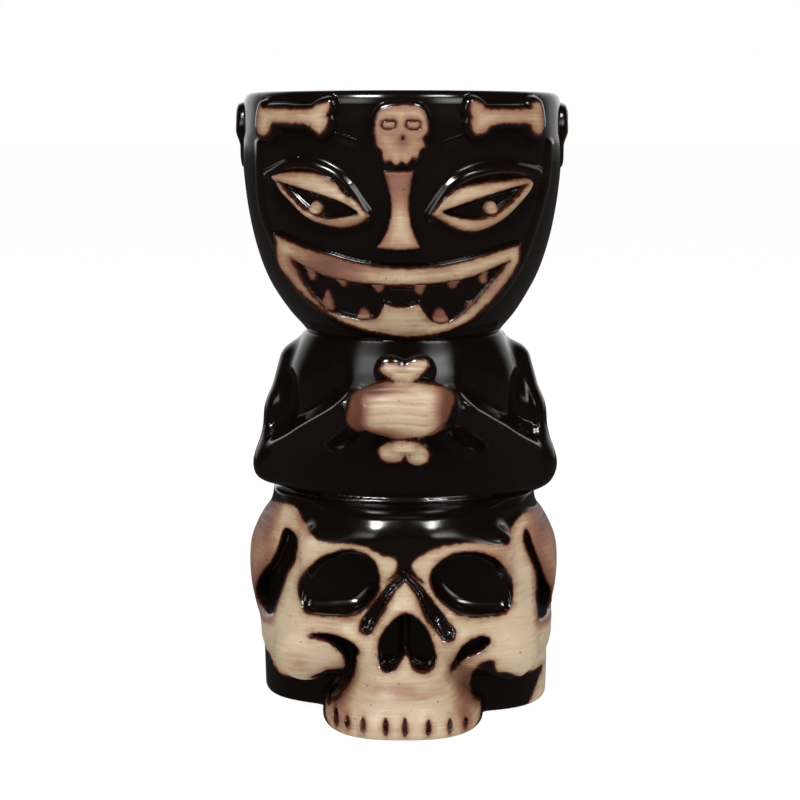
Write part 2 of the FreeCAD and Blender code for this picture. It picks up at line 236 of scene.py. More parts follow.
def net_vertices(values, xs, ys, zs):
    """One vertex per grid cell that the surface crosses, and the table of vertex numbers."""
    inside = values < 0
    corners = [(i, j, k) for i in (0, 1) for j in (0, 1) for k in (0, 1)]
    nx, ny, nz = [size - 1 for size in inside.shape]
    total = sum(inside[i:i + nx, j:j + ny, k:k + nz].astype(np.int8) for i, j, k in corners)
    cells = np.argwhere((total > 0) & (total < len(corners)))
    number = np.full(total.shape, -1, np.int32)
    number[tuple(cells.T)] = np.arange(len(cells))
    place, hits = np.zeros((len(cells), 3)), np.zeros(len(cells))
    for a in corners:
        for b in corners:
            if sum(b) - sum(a) != 1 or sum(abs(p - q) for p, q in zip(a, b)) != 1:
                continue
            ia, ib = cells + a, cells + b
            fa, fb = values[tuple(ia.T)], values[tuple(ib.T)]
            cross = (fa < 0) != (fb < 0)
            t = np.where(cross, fa / np.where(cross, fa - fb, 1.0), 0.0)[:, None]
            pa = np.stack([xs[ia[:, 0]], ys[ia[:, 1]], zs[ia[:, 2]]], 1)
            pb = np.stack([xs[ib[:, 0]], ys[ib[:, 1]], zs[ib[:, 2]]], 1)
            place += np.where(cross[:, None], pa + t * (pb - pa), 0.0)
            hits += cross
    return place / hits[:, None], number, inside


def net_faces(number, inside):
    """The quads between neighbouring cells, one for each grid edge that the surface crosses."""
    quads = []
    for axis in range(3):
        order = [axis, (axis + 1) % 3, (axis + 2) % 3]
        side = inside.transpose(order)
        cell = number.transpose(order)
        change = side[1:, 1:-1, 1:-1] != side[:-1, 1:-1, 1:-1]
        outwards = side[:-1, 1:-1, 1:-1][change]
        at = np.argwhere(change)
        i, j, k = at[:, 0], at[:, 1] + 1, at[:, 2] + 1
        ring = np.stack([cell[i, j - 1, k - 1], cell[i, j, k - 1], cell[i, j, k], cell[i, j - 1, k]], 1)
        quads.append(np.where(outwards[:, None], ring, ring[:, ::-1]))
    return np.vstack(quads)


def gradient(field, p, step=0.08):
    """The field's slope at points."""
    out = np.zeros_like(p)
    for axis in range(3):
        shift = np.zeros(3)
        shift[axis] = step
        out[:, axis] = (field(*(p + shift).T) - field(*(p - shift).T)) / (2 * step)
    return out


def net_mesh(field, xs, ys, zs):
    """The surface where a field is zero, as vertices and quads, settled on it in two steps."""
    values = field(xs[:, None, None], ys[None, :, None], zs[None, None, :])
    vertices, number, inside = net_vertices(values, xs, ys, zs)
    faces = net_faces(number, inside)
    for _ in range(2):
        slope = gradient(field, vertices)
        size2 = np.clip((slope ** 2).sum(1), 0.25, None)
        step = (field(*vertices.T) / size2)[:, None] * slope
        vertices = vertices - np.clip(step, -LONGEST_STEP, LONGEST_STEP)
    return vertices, faces


def spaced(*stops):
    """Grid planes through (place, spacing after it) stops, ending at the last place."""
    planes = [np.arange(a, b, step) for (a, step), (b, _) in zip(stops, stops[1:])]
    return np.concatenate(planes + [np.array([stops[-1][0]])])


# ---- the head bowl ------------------------------------------------------------------------
BOWL_RADIUS = profile([(0, 28.6), (2.1, 29.5), (8.1, 34.5), (17.2, 40), (27, 43.6), (38, 46), (50, 47.4),
    (60, 47.6), (68.6, 47.3)])
BOWL_INSIDE = [(43, 68), (42.9, 55), (42.4, 44), (40.6, 32), (37.4, 22), (32.5, 12), (28.2, 5), (27.2, 2),
    (27.2, 0)]
LIP_R, LIP_START, LIP_HALF = 47.2, 68.6, 2.1
HEAD_X = -0.45            # the bowl leans this far to the left of the axis
SURFACE = 1.0             # sprig outlines are laid out this far over the bowl
MOUTH_DEPTH, SLIT_DEPTH, SOCKET_DEPTH = 1.0, 0.9, 0.9
LID_HEIGHT, LID_HALF = 2.0, 2.7
EDGE_HEIGHT, EDGE_HALF = 0.8, 1.8         # the raised edges of the face
BROW_HEIGHT, BROW_HALF = 0.12, 3.4
# the bowl is meshed finely over FRONT_HALF either side of the front, and coarsely behind
FRONT_HALF, FRONT_STEP, BACK_STEPS = math.radians(92), math.radians(0.4), 75
ROW_STEP = 0.3            # between the rows of the bowl's outside
ROOT = 0.45               # how far a sprig's edge sinks into the bowl
SINK = 0.6                # how far inside its edge a sprig starts to sink
THICK = 1.5               # how far a sprig reaches below the bowl's surface
BORDER = 2.0              # how far past an outline its sprig's grid runs
PUPIL_R = 2.15
PUPIL_SHIFT = {"left_eye": -0.5, "right_eye": 2.0}
EYE_STAIN = {"left_eye": 0.12, "right_eye": 0.24}
PEG_TAPER = 0.55          # the width of a tooth's tip against its root

EYES = {
    "left_eye": (
        [(-13.4, 6.6), (-12, 7.5), (-7.7, 8.4), (-2.2, 8.3), (2.6, 7.2), (5.9, 4.9), (7.6, 2.6),
         (11.2, 0.6), (15.4, -4)],
        [(15.4, -4), (12.9, -5.8), (7.6, -7.4), (1.6, -6.8), (-3.9, -4.6), (-8.2, -0.7), (-11.8, 3),
         (-13.4, 6.6)]),
    "right_eye": (
        [(-15.7, -3.5), (-12.3, 0.7), (-7.6, 3.9), (-1.1, 5.3), (5.6, 5.9), (10.6, 6.5), (13.6, 6.3),
         (15.2, 5)],
        [(15.2, 5), (14.4, 3), (11.9, 0), (6.4, -5.1), (-0.3, -8.3), (-6.3, -8.3), (-11.1, -6),
         (-15.7, -3.5)]),
}
SLITS = {
    "left_eye": (
        [(-11.4, 5.2), (1.1, 1.7), (6.7, -0.3), (11.7, -2.9)],
        [(11.7, -2.9), (8.2, -3.8), (2.2, -4.5), (-3.4, -2.3), (-8.3, 1.9), (-11.4, 5.2)]),
    "right_eye": (
        [(12, 4.4), (5, 2.7), (-6.4, -0.9), (-11.8, -2.7)],
        [(-11.8, -2.7), (-9.3, -3.7), (-2.8, -4.8), (3.2, -3.4), (9.4, 1.2), (12, 4.4)]),
}
LIDS = {
    "left_eye": [(-14.5, 7), (-8.5, 10), (-3, 10.3), (1.5, 9), (5.2, 7), (7.9, 4.7), (9.9, 2.2),
        (11.8, -0.6), (13.6, -3.2)],
    "right_eye": [(15.5, 7.6), (9, 9), (3, 9), (-2.4, 7.9), (-6.6, 6.2), (-9.6, 3.9), (-11.7, 1.4),
        (-13.6, -1.4), (-15.2, -3.8)],
}
BROWS = {
    "left_brow": [(-18.5, 1.5), (-14.4, 4), (-8.3, 6), (-0.7, 6.2), (6.6, 4.8), (12.4, 2.2), (16.2, -2),
        (18.2, -7.5), (18, -13)],
    "right_brow": [(18.5, 1), (14.4, 3.6), (8.3, 5.6), (0.7, 6), (-6.6, 4.6), (-12.2, 2.2), (-15.8, -2),
        (-17.6, -7.5), (-17.2, -13)],
}
LIP_OUTER = (
    [(-36, 15), (-27, 11.5), (-19.6, 9.6), (-12.9, 7.8), (-5.8, 6.7), (0.2, 6.3), (5.6, 6.3), (12.1, 6.9),
     (19.4, 8.4), (25.5, 10), (33.6, 12.2)],
    [(33.6, 12.2), (33.8, 9), (32.9, 5.8), (30.1, 1.4), (25.8, -3.7), (20.9, -8), (16, -11.2),
     (10.5, -13.3), (2, -14.3), (-7.6, -12.9), (-15.6, -10.5), (-21.7, -6.9), (-27.3, -2.5), (-31.7, 2.4),
     (-34.5, 6.8), (-36, 15)])
LIP_INNER = (
    [(-31.6, 8.2), (-22.8, 4), (-15.4, 2.4), (-8.2, 1.6), (0.2, 1.3), (7.4, 1.6), (13.4, 2.2), (19.5, 3.3),
     (30.7, 7.4)],
    [(30.7, 7.4), (24.5, -0.2), (20.8, -4.3), (17.2, -7.5), (13.5, -9.7), (10.5, -10.1), (7.7, -8.5),
     (5.1, -4.2)],
    [(5.1, -4.2), (1.4, -5.1), (-2.2, -5), (-4.9, -4.2)],
    [(-4.9, -4.2), (-7, -8.1), (-9.4, -8.9), (-14, -8.8), (-21.1, -6.5), (-27.2, 0.1), (-31.6, 8.2)])
FACE_EDGES = {
    "left_eye": [(-17.8, 16.2), (-17.9, 8.5), (-17.7, 1.2), (-16.7, -5), (-14.2, -10.8), (-11.1, -17.8),
        (-7.4, -24.4), (-1.8, -30), (6, -34.8), (16, -38)],
    "right_eye": [(20, 16.2), (19.5, 8.5), (18.7, 2.8), (16.6, -4.3), (14.3, -11.4), (11.8, -17.7),
        (7.7, -24.3), (2.5, -29.9), (-5.4, -34.7), (-16, -38)],
}
NOSE = (
    [(-4.7, 12.6), (3.3, 12.6)],
    [(3.3, 12.6), (2.5, 8), (2.1, 3), (2.9, -2.8), (5.2, -8.5)],
    [(5.2, -8.5), (-0.6, -8.9), (-6.4, -8.4)],
    [(-6.4, -8.4), (-4, -4.3), (-2.7, 1), (-2.8, 5.6), (-4.7, 12.6)])
UPPER_TEETH = [(-24.8, 3.2, 1.8, 3.1), (-15.5, 0.9, 1.8, 2.4), (-5, 0.2, 2.1, 3), (7, 0.2, 2, 3.7),
    (16.7, 0.3, 2, 2.3), (25.8, 1.6, 1.5, 2.4)]
LOWER_TEETH = [(-21.8, -3.2, 1.7, 5.2), (-11.2, -5.9, 2.2, 3.1), (11.4, -6.3, 2.4, 3.4),
    (20.6, -3.4, 1.9, 2.6)]
RIM_SKULL = [(-7.6, 3.4), (-6.3, 6.3), (-3.6, 7.4), (0.3, 7.7), (3.3, 7.5), (5.2, 5.9), (6.2, 3.2),
    (6.2, 0.8), (5.2, -1.2), (5.6, -3.1), (4.4, -4.4), (3.4, -6.2), (0.6, -7.7), (-2.6, -7.8), (-5.2, -6.9),
    (-6, -4.8), (-7.3, -2.9), (-7.7, 0.4)]
RIM_EYES = [(-5.7, 1.5, -2.5, 3.5), (0.9, 1.4, 4.2, 3.5)]
BONE_RIGHT = [(-13.3, 4.7), (-12.2, 5.2), (-10.4, 4.4), (-9, 3.2), (-3.2, 3.1), (3.2, 3.4), (3.9, 4.8),
    (5.2, 5.4), (6.3, 4.6), (7, 1.4), (7.1, -1.6), (6.4, -3.6), (4.6, -3.3), (3.7, -1.8), (2.5, -0.7),
    (-3.2, -0.6), (-7.5, -1.2), (-9.2, -2.7), (-11, -3.7), (-12.7, -3.4), (-13.5, -1), (-13.2, 0.9),
    (-13.7, 2.6)]
BONE_LEFT = [(-8.2, 4.4), (-7.2, 3.5), (-2.8, 3.4), (2.2, 3.1), (6.2, 3.2), (7.7, 4.1), (9.5, 4.8),
    (11.3, 4.8), (11.3, 3), (10.6, 1.3), (11.1, 0.2), (10.6, -1.6), (9, -3.6), (7.6, -2.9), (6.2, -1.7),
    (4.4, -0.9), (-1.5, -0.5), (-4.6, -0.7), (-5.7, -2.9), (-7.3, -4.1), (-8.8, -3.3), (-9.2, -0.8),
    (-8.9, 2)]


def bowl_relief():
    """How far the bowl's surface stands out of its turned shape, as a function of (x, z)."""
    mouth = outline("lips", *LIP_INNER)
    sockets = [outline(node, *runs) for node, runs in EYES.items()]
    slits = [outline(node, *runs) for node, runs in SLITS.items()]
    lids = [line(node, *points) for node, points in LIDS.items()]
    edges = [line(node, *points) for node, points in FACE_EDGES.items()]

    def relief(x, z):
        h = -MOUTH_DEPTH * smoothstep(-mouth(x, z), 0.2, 1.6)
        for socket, slit, lid in zip(sockets, slits, lids):
            h = h - SOCKET_DEPTH * smoothstep(-socket(x, z), -4.5, 0.5)
            h = h - SLIT_DEPTH * smoothstep(-slit(x, z), 0.0, 1.0)
            h = h + LID_HEIGHT * bump(lid(x, z), LID_HALF)
        for edge in edges:
            h = h + EDGE_HEIGHT * bump(edge(x, z), EDGE_HALF)
        top = NECK_Z + LIP_START
        return h * smoothstep(top - z, 0.5, 6.0) * smoothstep(z - NECK_Z, 1.0, 4.0)
    return relief


RELIEF = bowl_relief()


def on_bowl(x, z, height, relief=RELIEF):
    """Points on the bowl, height above its surface, seen from the front at (x, z)."""
    radius = BOWL_RADIUS(z - NECK_Z)
    shift = HEAD_X if relief is RELIEF else 0.0
    angle = np.arcsin(np.clip((x - shift) / (radius + SURFACE), -1, 1))
    r = radius + relief(x, z) + height
    return np.stack([r * np.sin(angle), -r * np.cos(angle), np.broadcast_to(z, r.shape)], -1)


def lean(vertices):
    """Moves the vertices to the left, as the bowl leaves the axis above its neck."""
    vertices[:, 0] += HEAD_X * smoothstep(vertices[:, 2] - NECK_Z, 2.0, 16.0)
    return vertices


def bowl_rows(angles):
    """The bowl's (radius, height) rows: up the outside, over the lip and down the inside."""
    rows = []
    in_front = np.cos(angles) > 0
    for z in np.arange(NECK_Z, NECK_Z + LIP_START + 0.1, ROW_STEP):
        radius = float(BOWL_RADIUS(z - NECK_Z))
        h = RELIEF(HEAD_X + (radius + SURFACE) * np.sin(angles), z)
        rows.append((radius + np.where(in_front, h, 0.0), z))
    start = NECK_Z + LIP_START
    for t in np.linspace(0, math.pi, 12)[1:]:
        radius = LIP_R - LIP_HALF + LIP_HALF * math.cos(t)
        rows.append((radius, start + (LIP_Z - start) * math.sin(t)))
    for radius, z in curve(BOWL_INSIDE, steps=3):
        rows.append((radius, NECK_Z + z))
    return rows


def head_bowl(material):
    """The drinking bowl, as one closed turned section with the face's relief on its front."""
    fine = np.arange(-FRONT_HALF, FRONT_HALF, FRONT_STEP)
    coarse = np.linspace(FRONT_HALF, 2 * math.pi - FRONT_HALF, BACK_STEPS)[:-1]
    angles = np.concatenate([fine, coarse])
    rows = bowl_rows(angles)
    count = len(angles)
    vertices = np.vstack([np.stack([r * np.sin(angles), -r * np.cos(angles), np.full(count, z)], 1)
                          for r, z in rows])
    i, j = np.meshgrid(np.arange(len(rows)), np.arange(count), indexing="ij")
    i2, j2 = (i + 1) % len(rows), (j + 1) % count
    faces = np.stack([i * count + j, i * count + j2, i2 * count + j2, i2 * count + j], -1).reshape(-1, 4)
    make_piece("head_bowl", lean(vertices), faces, UNPAINTED, 0.0, material)


nothing = constant(0.0)       # no relief, or no stain


def sheet(edge, reach, fine):
    """The grid points within reach of an outline, as x and z, and the quads between them."""
    low, high = edge.low + Outline.MARGIN - BORDER, edge.high - Outline.MARGIN + BORDER
    xs, zs = np.arange(low[0], high[0], fine), np.arange(low[1], high[1], fine)
    x, z = np.broadcast_arrays(xs[:, None], zs[None, :])
    near = edge(x, z) < reach
    cells = near[1:, 1:] & near[1:, :-1] & near[:-1, 1:] & near[:-1, :-1]
    used = np.zeros(near.shape, bool)
    for a in (0, 1):
        for b in (0, 1):
            used[a:a + cells.shape[0], b:b + cells.shape[1]] |= cells
    number = np.full(near.shape, -1)
    number[used] = np.arange(used.sum())
    i, j = np.nonzero(cells)
    quads = np.stack([number[i, j], number[i + 1, j], number[i + 1, j + 1], number[i, j + 1]], 1)
    return x[used], z[used], quads


def shell_faces(quads, total):
    """The outer sheet, the inner one turned over, and the strip that joins their edges."""
    sides = np.concatenate([quads[:, [0, 1]], quads[:, [1, 2]], quads[:, [2, 3]], quads[:, [3, 0]]])
    back = set(map(tuple, sides[:, ::-1].tolist()))
    rim = np.array([side for side in sides.tolist() if tuple(side) not in back])
    strip = np.stack([rim[:, 0], rim[:, 1], rim[:, 1] + total, rim[:, 0] + total], 1)
    return np.vstack([quads, quads[:, ::-1] + total, strip[:, ::-1]])


def sprig(node, edge, height, paint, stain, material, turn=0.0, reach=0.9, fine=0.3):
    """A press-moulded ornament: its own closed shell, rooted a little way into the bowl."""
    relief = RELIEF if turn == 0 else nothing
    x, z, quads = sheet(edge, reach, fine)
    outer = on_bowl(x, z, height(x, z), relief)
    inner = on_bowl(x, z, np.full(x.shape, -THICK), relief)
    vx, vy, vz = np.vstack([outer, inner]).T
    c, s = math.cos(turn), math.sin(turn)
    vertices = np.stack([vx * c - vy * s, vx * s + vy * c, vz], 1)
    values = np.concatenate([paint(x, z), np.full(len(x), UNPAINTED)])
    marks = np.concatenate([stain(x, z), np.zeros(len(x))])
    make_piece(node, lean(vertices), shell_faces(quads, len(x)), values, marks, material)


def shoulder(distance, top, width):
    """The height of a pad with rounded shoulders: top inside its edge, sinking to the root outside."""
    t = np.clip(-distance / width, 0.0, 1.0)
    rise = np.sqrt(np.clip(1 - (1 - t) ** 2, 0.0, 1.0))
    sink = ROOT * np.clip(1 + distance / SINK, 0.0, 2.0) / 2
    return top * rise - np.where(distance > -SINK, sink, 0.0)


def eye_pad(node, material):
    """An almond pad, open along its slit."""
    edge, slit = outline(node, *EYES[node]), outline(node, *SLITS[node])
    x0, z0 = centre_xz(node)

    def height(x, z):
        return np.minimum(shoulder(edge(x, z), 2.3, 2.6), shoulder(-slit(x, z), 2.4, 1.0))

    def paint(x, z):
        return -np.maximum(edge(x, z), -slit(x, z)) - 0.35

    def stain(x, z):
        upper = 0.35 * smoothstep(z, z0 + 2, z0 + 8)
        return EYE_STAIN[node] + upper + 0.45 * blob(x, z, x0 + 6, z0 - 6, 9, 2.5)
    sprig(node, edge, height, paint, stain, material)


def pupil(eye, material):
    """The small disc in an eye's slit."""
    node = eye.replace("eye", "pupil")
    x0, z0 = centre_xz(node)
    x0 += PUPIL_SHIFT[eye]
    turns = np.arange(0, 2 * math.pi, math.pi / 4)
    disc = Outline([(x0 + PUPIL_R * math.cos(t), z0 + PUPIL_R * math.sin(t)) for t in turns])
    sprig(node, disc, lambda x, z: shoulder(disc(x, z), 1.3, 1.2), lambda x, z: -disc(x, z) - 0.15,
          constant(0.3), material, fine=0.2)


def eyes(material):
    """The eye pads and their pupils."""
    for node in EYES:
        eye_pad(node, material)
        pupil(node, material)


def brows(material):
    """The rolled coils arching over the eyes."""
    for node, points in BROWS.items():
        path = line(node, *points)
        x0, z0 = centre_xz(node)

        def height(x, z):
            fade = smoothstep(z, z0 - 15, z0 - 2) * (1 - smoothstep(np.abs(x - x0), 12.0, 19.0))
            return BROW_HEIGHT * bump(path(x, z), BROW_HALF) * fade - ROOT * (1 - fade)
        edge = grown(path, BROW_HALF)
        sprig(node, edge, height, constant(UNPAINTED), nothing, material)


def nose(material):
    """The nose: a narrow bridge that flares and rises to its tip."""
    edge = outline("nose", *NOSE)
    x0, z0 = centre_xz("nose")

    def height(x, z):
        top = 1.6 + 2.6 * smoothstep(z0 - z, -9.0, 9.0)
        return shoulder(edge(x, z) - 0.5, 1.0, 1.3) * (top + ROOT)

    def stain(x, z):
        return 0.32 + 0.95 * smoothstep(z, z0, z0 + 9) + 0.3 * smoothstep(np.abs(x - x0), 2, 4)
    sprig("nose", edge, height, lambda x, z: -edge(x, z) - 0.1, stain, material, reach=1.4)


def lips(material):
    """The ring of lips round the grin."""
    inner, outer = outline("lips", *LIP_INNER), outline("lips", *LIP_OUTER)
    x0, z0 = centre_xz("lips")

    def height(x, z):
        return np.minimum(shoulder(outer(x, z) - 1.1, 2.0, 2.2), shoulder(-inner(x, z) - 0.3, 1.5, 1.2))

    def paint(x, z):
        return -np.maximum(outer(x, z), -inner(x, z)) - 0.25

    def stain(x, z):
        upper = 1.5 * blob(x, z, x0 - 21, z0 + 6.5, 10, 4.5) + 0.1 * blob(x, z, x0 + 12, z0 + 5, 16, 3.5)
        lower = 0.4 * blob(x, z, x0 - 24, z0 - 3, 7, 6) + 0.3 * blob(x, z, x0 + 27, z0 + 1, 5, 7)
        return 0.22 + upper + lower
    sprig("lips", outer, height, paint, stain, material, reach=1.7)


def peg_outlines(node, pegs, direction):
    """Small rounded pegs, wide at the gum and narrow at the tip, as one outline."""
    shapes = []
    for x, z, half, length in pegs:
        root, tip = z - direction * 0.8, z + direction * length
        narrow = half * PEG_TAPER
        corners = [(x - half, root), (x + half, root), (x + narrow, tip), (x - narrow, tip)]
        shapes.append(outline(node, corners))
    return union(shapes)


def teeth(material):
    """The little pegs standing in the open mouth."""
    for node, pegs, direction in (("upper_teeth", UPPER_TEETH, -1), ("lower_teeth", LOWER_TEETH, 1)):
        edge = peg_outlines(node, pegs, direction)
        sprig(node, edge, lambda x, z: shoulder(edge(x, z) - 0.3, 0.5, 1.3), lambda x, z: -edge(x, z) - 0.35,
              constant(1.15), material, fine=0.25)


def rim_skulls(material):
    """The four small skulls round the rim: a cream face on a black raised pad."""
    node = "rim_skull_front"
    x0, z0 = centre_xz(node)
    face = outline(node, RIM_SKULL)
    edge = grown(face, 2.0)
    sockets = union([outline(node, [(a, b), (c, b), (c, d), (a, d)]) for a, b, c, d in RIM_EYES])

    def height(x, z):
        crown = smoothstep(z, z0 - 3.5, z0 + 1.5)
        pad = shoulder(edge(x, z), 0.7, 2.6) * (1.0 + 1.9 * crown)
        rings = 0.55 * bump(sockets(x, z) + 0.1, 0.8)
        nostrils = 0.5 * bump(np.hypot(x - x0 + 0.2, (z - z0 + 1.2) / 1.3), 0.9)
        return pad - rings - nostrils

    def paint(x, z):
        rings = np.abs(sockets(x, z) + 0.1) - 0.28
        nostrils = np.hypot(x - x0 + 0.3, (z - z0 + 1.2) / 1.5) - 0.55
        jag = 0.45 * np.sin(2.1 * x) * smoothstep(z0 - z, 3, 6)
        return np.minimum(np.minimum(-face(x, z) + jag, rings), nostrils)

    def stain(x, z):
        return 0.40 + 0.45 * blob(x, z, x0 - 1, z0 - 3, 6, 3.5)
    for place, turn in (("front", 0), ("right", 90), ("back", 180), ("left", 270)):
        sprig("rim_skull_" + place, edge, height, paint, stain, material, turn=math.radians(turn))


def rim_bones(material):
    """The four bones between the rim skulls."""
    jobs = (("front_right", "front_right", BONE_RIGHT, 0), ("front_left", "front_left", BONE_LEFT, 0),
            ("back_left", "front_right", BONE_RIGHT, 180), ("back_right", "front_left", BONE_LEFT, 180))
    for place, source, points, turn in jobs:
        face = outline("rim_bone_" + source, points)
        edge = grown(face, 1.9)
        sprig("rim_bone_" + place, edge, lambda x, z: shoulder(edge(x, z), 2.4, 2.2),
              lambda x, z: -face(x, z) - 0.05, lambda x, z: 0.34 + 0.18 * (x > 0), material,
              turn=math.radians(turn))


# ---- distance fields ----------------------------------------------------------------------
def oval(x, y, half_width, front_depth, back_depth, power=2.0):
    """Distance to an upright oval whose front and back halves may differ in depth."""
    depth = np.where(y < 0, front_depth, back_depth)
    u, v = np.abs(x) / half_width, np.abs(y) / depth
    k = np.maximum((u ** power + v ** power) ** (1 / power), 0.25)
    slope = np.hypot(u ** (power - 1) / half_width, v ** (power - 1) / depth) / k ** (power - 1)
    return (k - 1) / np.maximum(slope, 1e-3)


def ellipsoid(x, y, z, centre, radii):
    """Distance, close to the surface, to an ellipsoid."""
    u, v, w = (x - centre[0]) / radii[0], (y - centre[1]) / radii[1], (z - centre[2]) / radii[2]
    k = np.maximum(np.sqrt(u * u + v * v + w * w), 0.2)
    slope = np.sqrt((u / radii[0]) ** 2 + (v / radii[1]) ** 2 + (w / radii[2]) ** 2) / k
    return (k - 1) / np.maximum(slope, 1e-3)


def limb(x, y, z, a, b):
    """Distance to a tapered limb between two joints, each an (x, y, z, radius)."""
    d = np.array(b[:3]) - np.array(a[:3])
    t = ((x - a[0]) * d[0] + (y - a[1]) * d[1] + (z - a[2]) * d[2]) / (d @ d)
    t = np.clip(t, 0, 1)
    away2 = (x - a[0] - t * d[0]) ** 2 + (y - a[1] - t * d[1]) ** 2 + (z - a[2] - t * d[2]) ** 2
    return np.sqrt(away2) - (a[3] + t * (b[3] - a[3]))


def chain(x, y, z, joints, blend):
    """Distance to limbs running from joint to joint, blended where they meet."""
    whole = limb(x, y, z, joints[0], joints[1])
    for a, b in zip(joints[1:], joints[2:]):
        whole = smooth_min(whole, limb(x, y, z, a, b), blend)
    return whole


# ---- torso, arms, hands and held bone: heights are measured from the waist ----------------
TORSO_WIDTH = profile([(-2, 40.3), (4, 40.2), (19, 37.5), (29, 36), (38, 34.5), (43, 32.6), (49, 29.6)])
TORSO_DEPTH = profile([(-2, 33.4), (6, 34.6), (19, 34), (29, 33), (38, 31.4), (43, 30.2), (49, 29.3)])
# shoulder, upper arm, elbow and wrist, each as x, y, z and radius
ARM = [(32.0, 2.0, 38.4, 6.3), (34.8, -0.5, 24.0, 7.3), (37.2, -3.5, 8.2, 8.2), (15.0, -36.6, 28.6, 6.1)]
ARM_X = 0.5               # the arms sit a touch to the right of the axis
POCKET = [(36, 37), (33.4, 36.8), (31.6, 32.7), (31.7, 25.2), (34.3, 21.5), (40.2, 19.6), (39.4, 25.5),
    (38, 31.4)]
LEDGE = [(12, 36), (18.1, 32), (22.6, 28.5), (29.3, 23.7), (35.5, 18.8), (41.6, 14.8), (48, 10)]
HAND_X, HAND_Y = -0.6, -38.4
HANDS_FRONT = -34.0       # only what is in front of this is wiped
UPPER_HAND = ((HAND_X, HAND_Y, 29.5), (15.4, 8.4, 8.5))
UNDER_HAND = ((6.0, -37.4, 28.6), (9.0, 7.0, 7.6))
BONE_R = 4.2
KNOB_TOP, KNOB_LOW = (4.2, 11.3, 4.9), (3.9, -11.9, 4.4)
KNOB_X, KNOB_BACK, KNOB_FLAT = 0.4, 2.4, 1.7
POCKET_DEPTH = 2.6        # of the hollow between the body and the bent arm
LEDGE_DEPTH, LEDGE_BEAD = 2.2, 0.6        # of the step over the forearm, and of the ridge on it
WALL = 5.5                # thickness of the torso
OVERLAP, TORSO_OVERLAP = 2.6, 4.0         # how far a piece runs on into its neighbours
TUCK = 0.35               # how far it lies under their surface there
GRID_WAIST = 61.0         # the height of the waist in the grids below
# from here on, heights are measured from the middle of the held bone
FINGER_LINES = [(5.4, -9.5, 4.5), (2.0, -10.0, 6.5), (-1.0, -9.5, 7.0), (-3.9, -8.5, 6.5)]
HAND_PAINT = [(-15.4, 1), (-14.4, 4.8), (-10.8, 7), (-4.7, 8.5), (3.1, 8.5), (11.2, 7), (14.1, 4.4),
    (13.2, 1.4), (12, -2), (10.4, -4.8), (6, -6.6), (-0.5, -7.2), (-7, -7), (-12.4, -6), (-15.8, -3)]
HEART_TOP = [(-0.2, 12.9), (3.1, 14.2), (6.2, 14.4), (6.9, 12.9), (5.4, 11), (3.4, 9.2), (-1.7, 8.9),
    (-4.9, 10.2), (-6.8, 12), (-5.2, 13.5), (-2.6, 13.6)]
HEART_LOW = [(0.4, -12.8), (1.4, -15), (4.3, -15.9), (6.8, -15), (7, -12.5), (5.5, -10), (2.5, -8.4),
    (-1.1, -8.1), (-4.7, -9.2), (-7.1, -11.4), (-6.6, -13.6), (-4.1, -14.8), (-0.8, -14.6)]


def torso_parts(x, y, z):
    """Distance to each piece of the torso group, before they are blended."""
    h = z - WAIST_Z
    depth = TORSO_DEPTH(h)
    parts = {"torso": oval(x, y, TORSO_WIDTH(h), depth, depth), "held_bone": bone_field(x, y, z - BONE_Z)}
    for name, side in (("left_arm", -1), ("right_arm", 1)):
        parts[name] = chain(side * (x - ARM_X), y, h, ARM, 3.0)
    parts["left_hand"] = ellipsoid(x, y, h, *UPPER_HAND)
    parts["right_hand"] = ellipsoid(x, y, h, *UNDER_HAND)
    return parts


def bone_field(x, y, up):
    """Distance to the bone held upright: a shaft with two knobs at either end."""
    bone = np.maximum(np.hypot(x, y - HAND_Y) - BONE_R, np.abs(up) - KNOB_TOP[1])
    for side in (-1, 1):
        for across, level, r in (KNOB_TOP, KNOB_LOW):
            flat = KNOB_FLAT * (y - HAND_Y - KNOB_BACK)
            knob = np.sqrt((x - side * across - KNOB_X) ** 2 + flat ** 2 + (up - level) ** 2) - r
            bone = smooth_min(bone, knob, 2.6)
    return bone


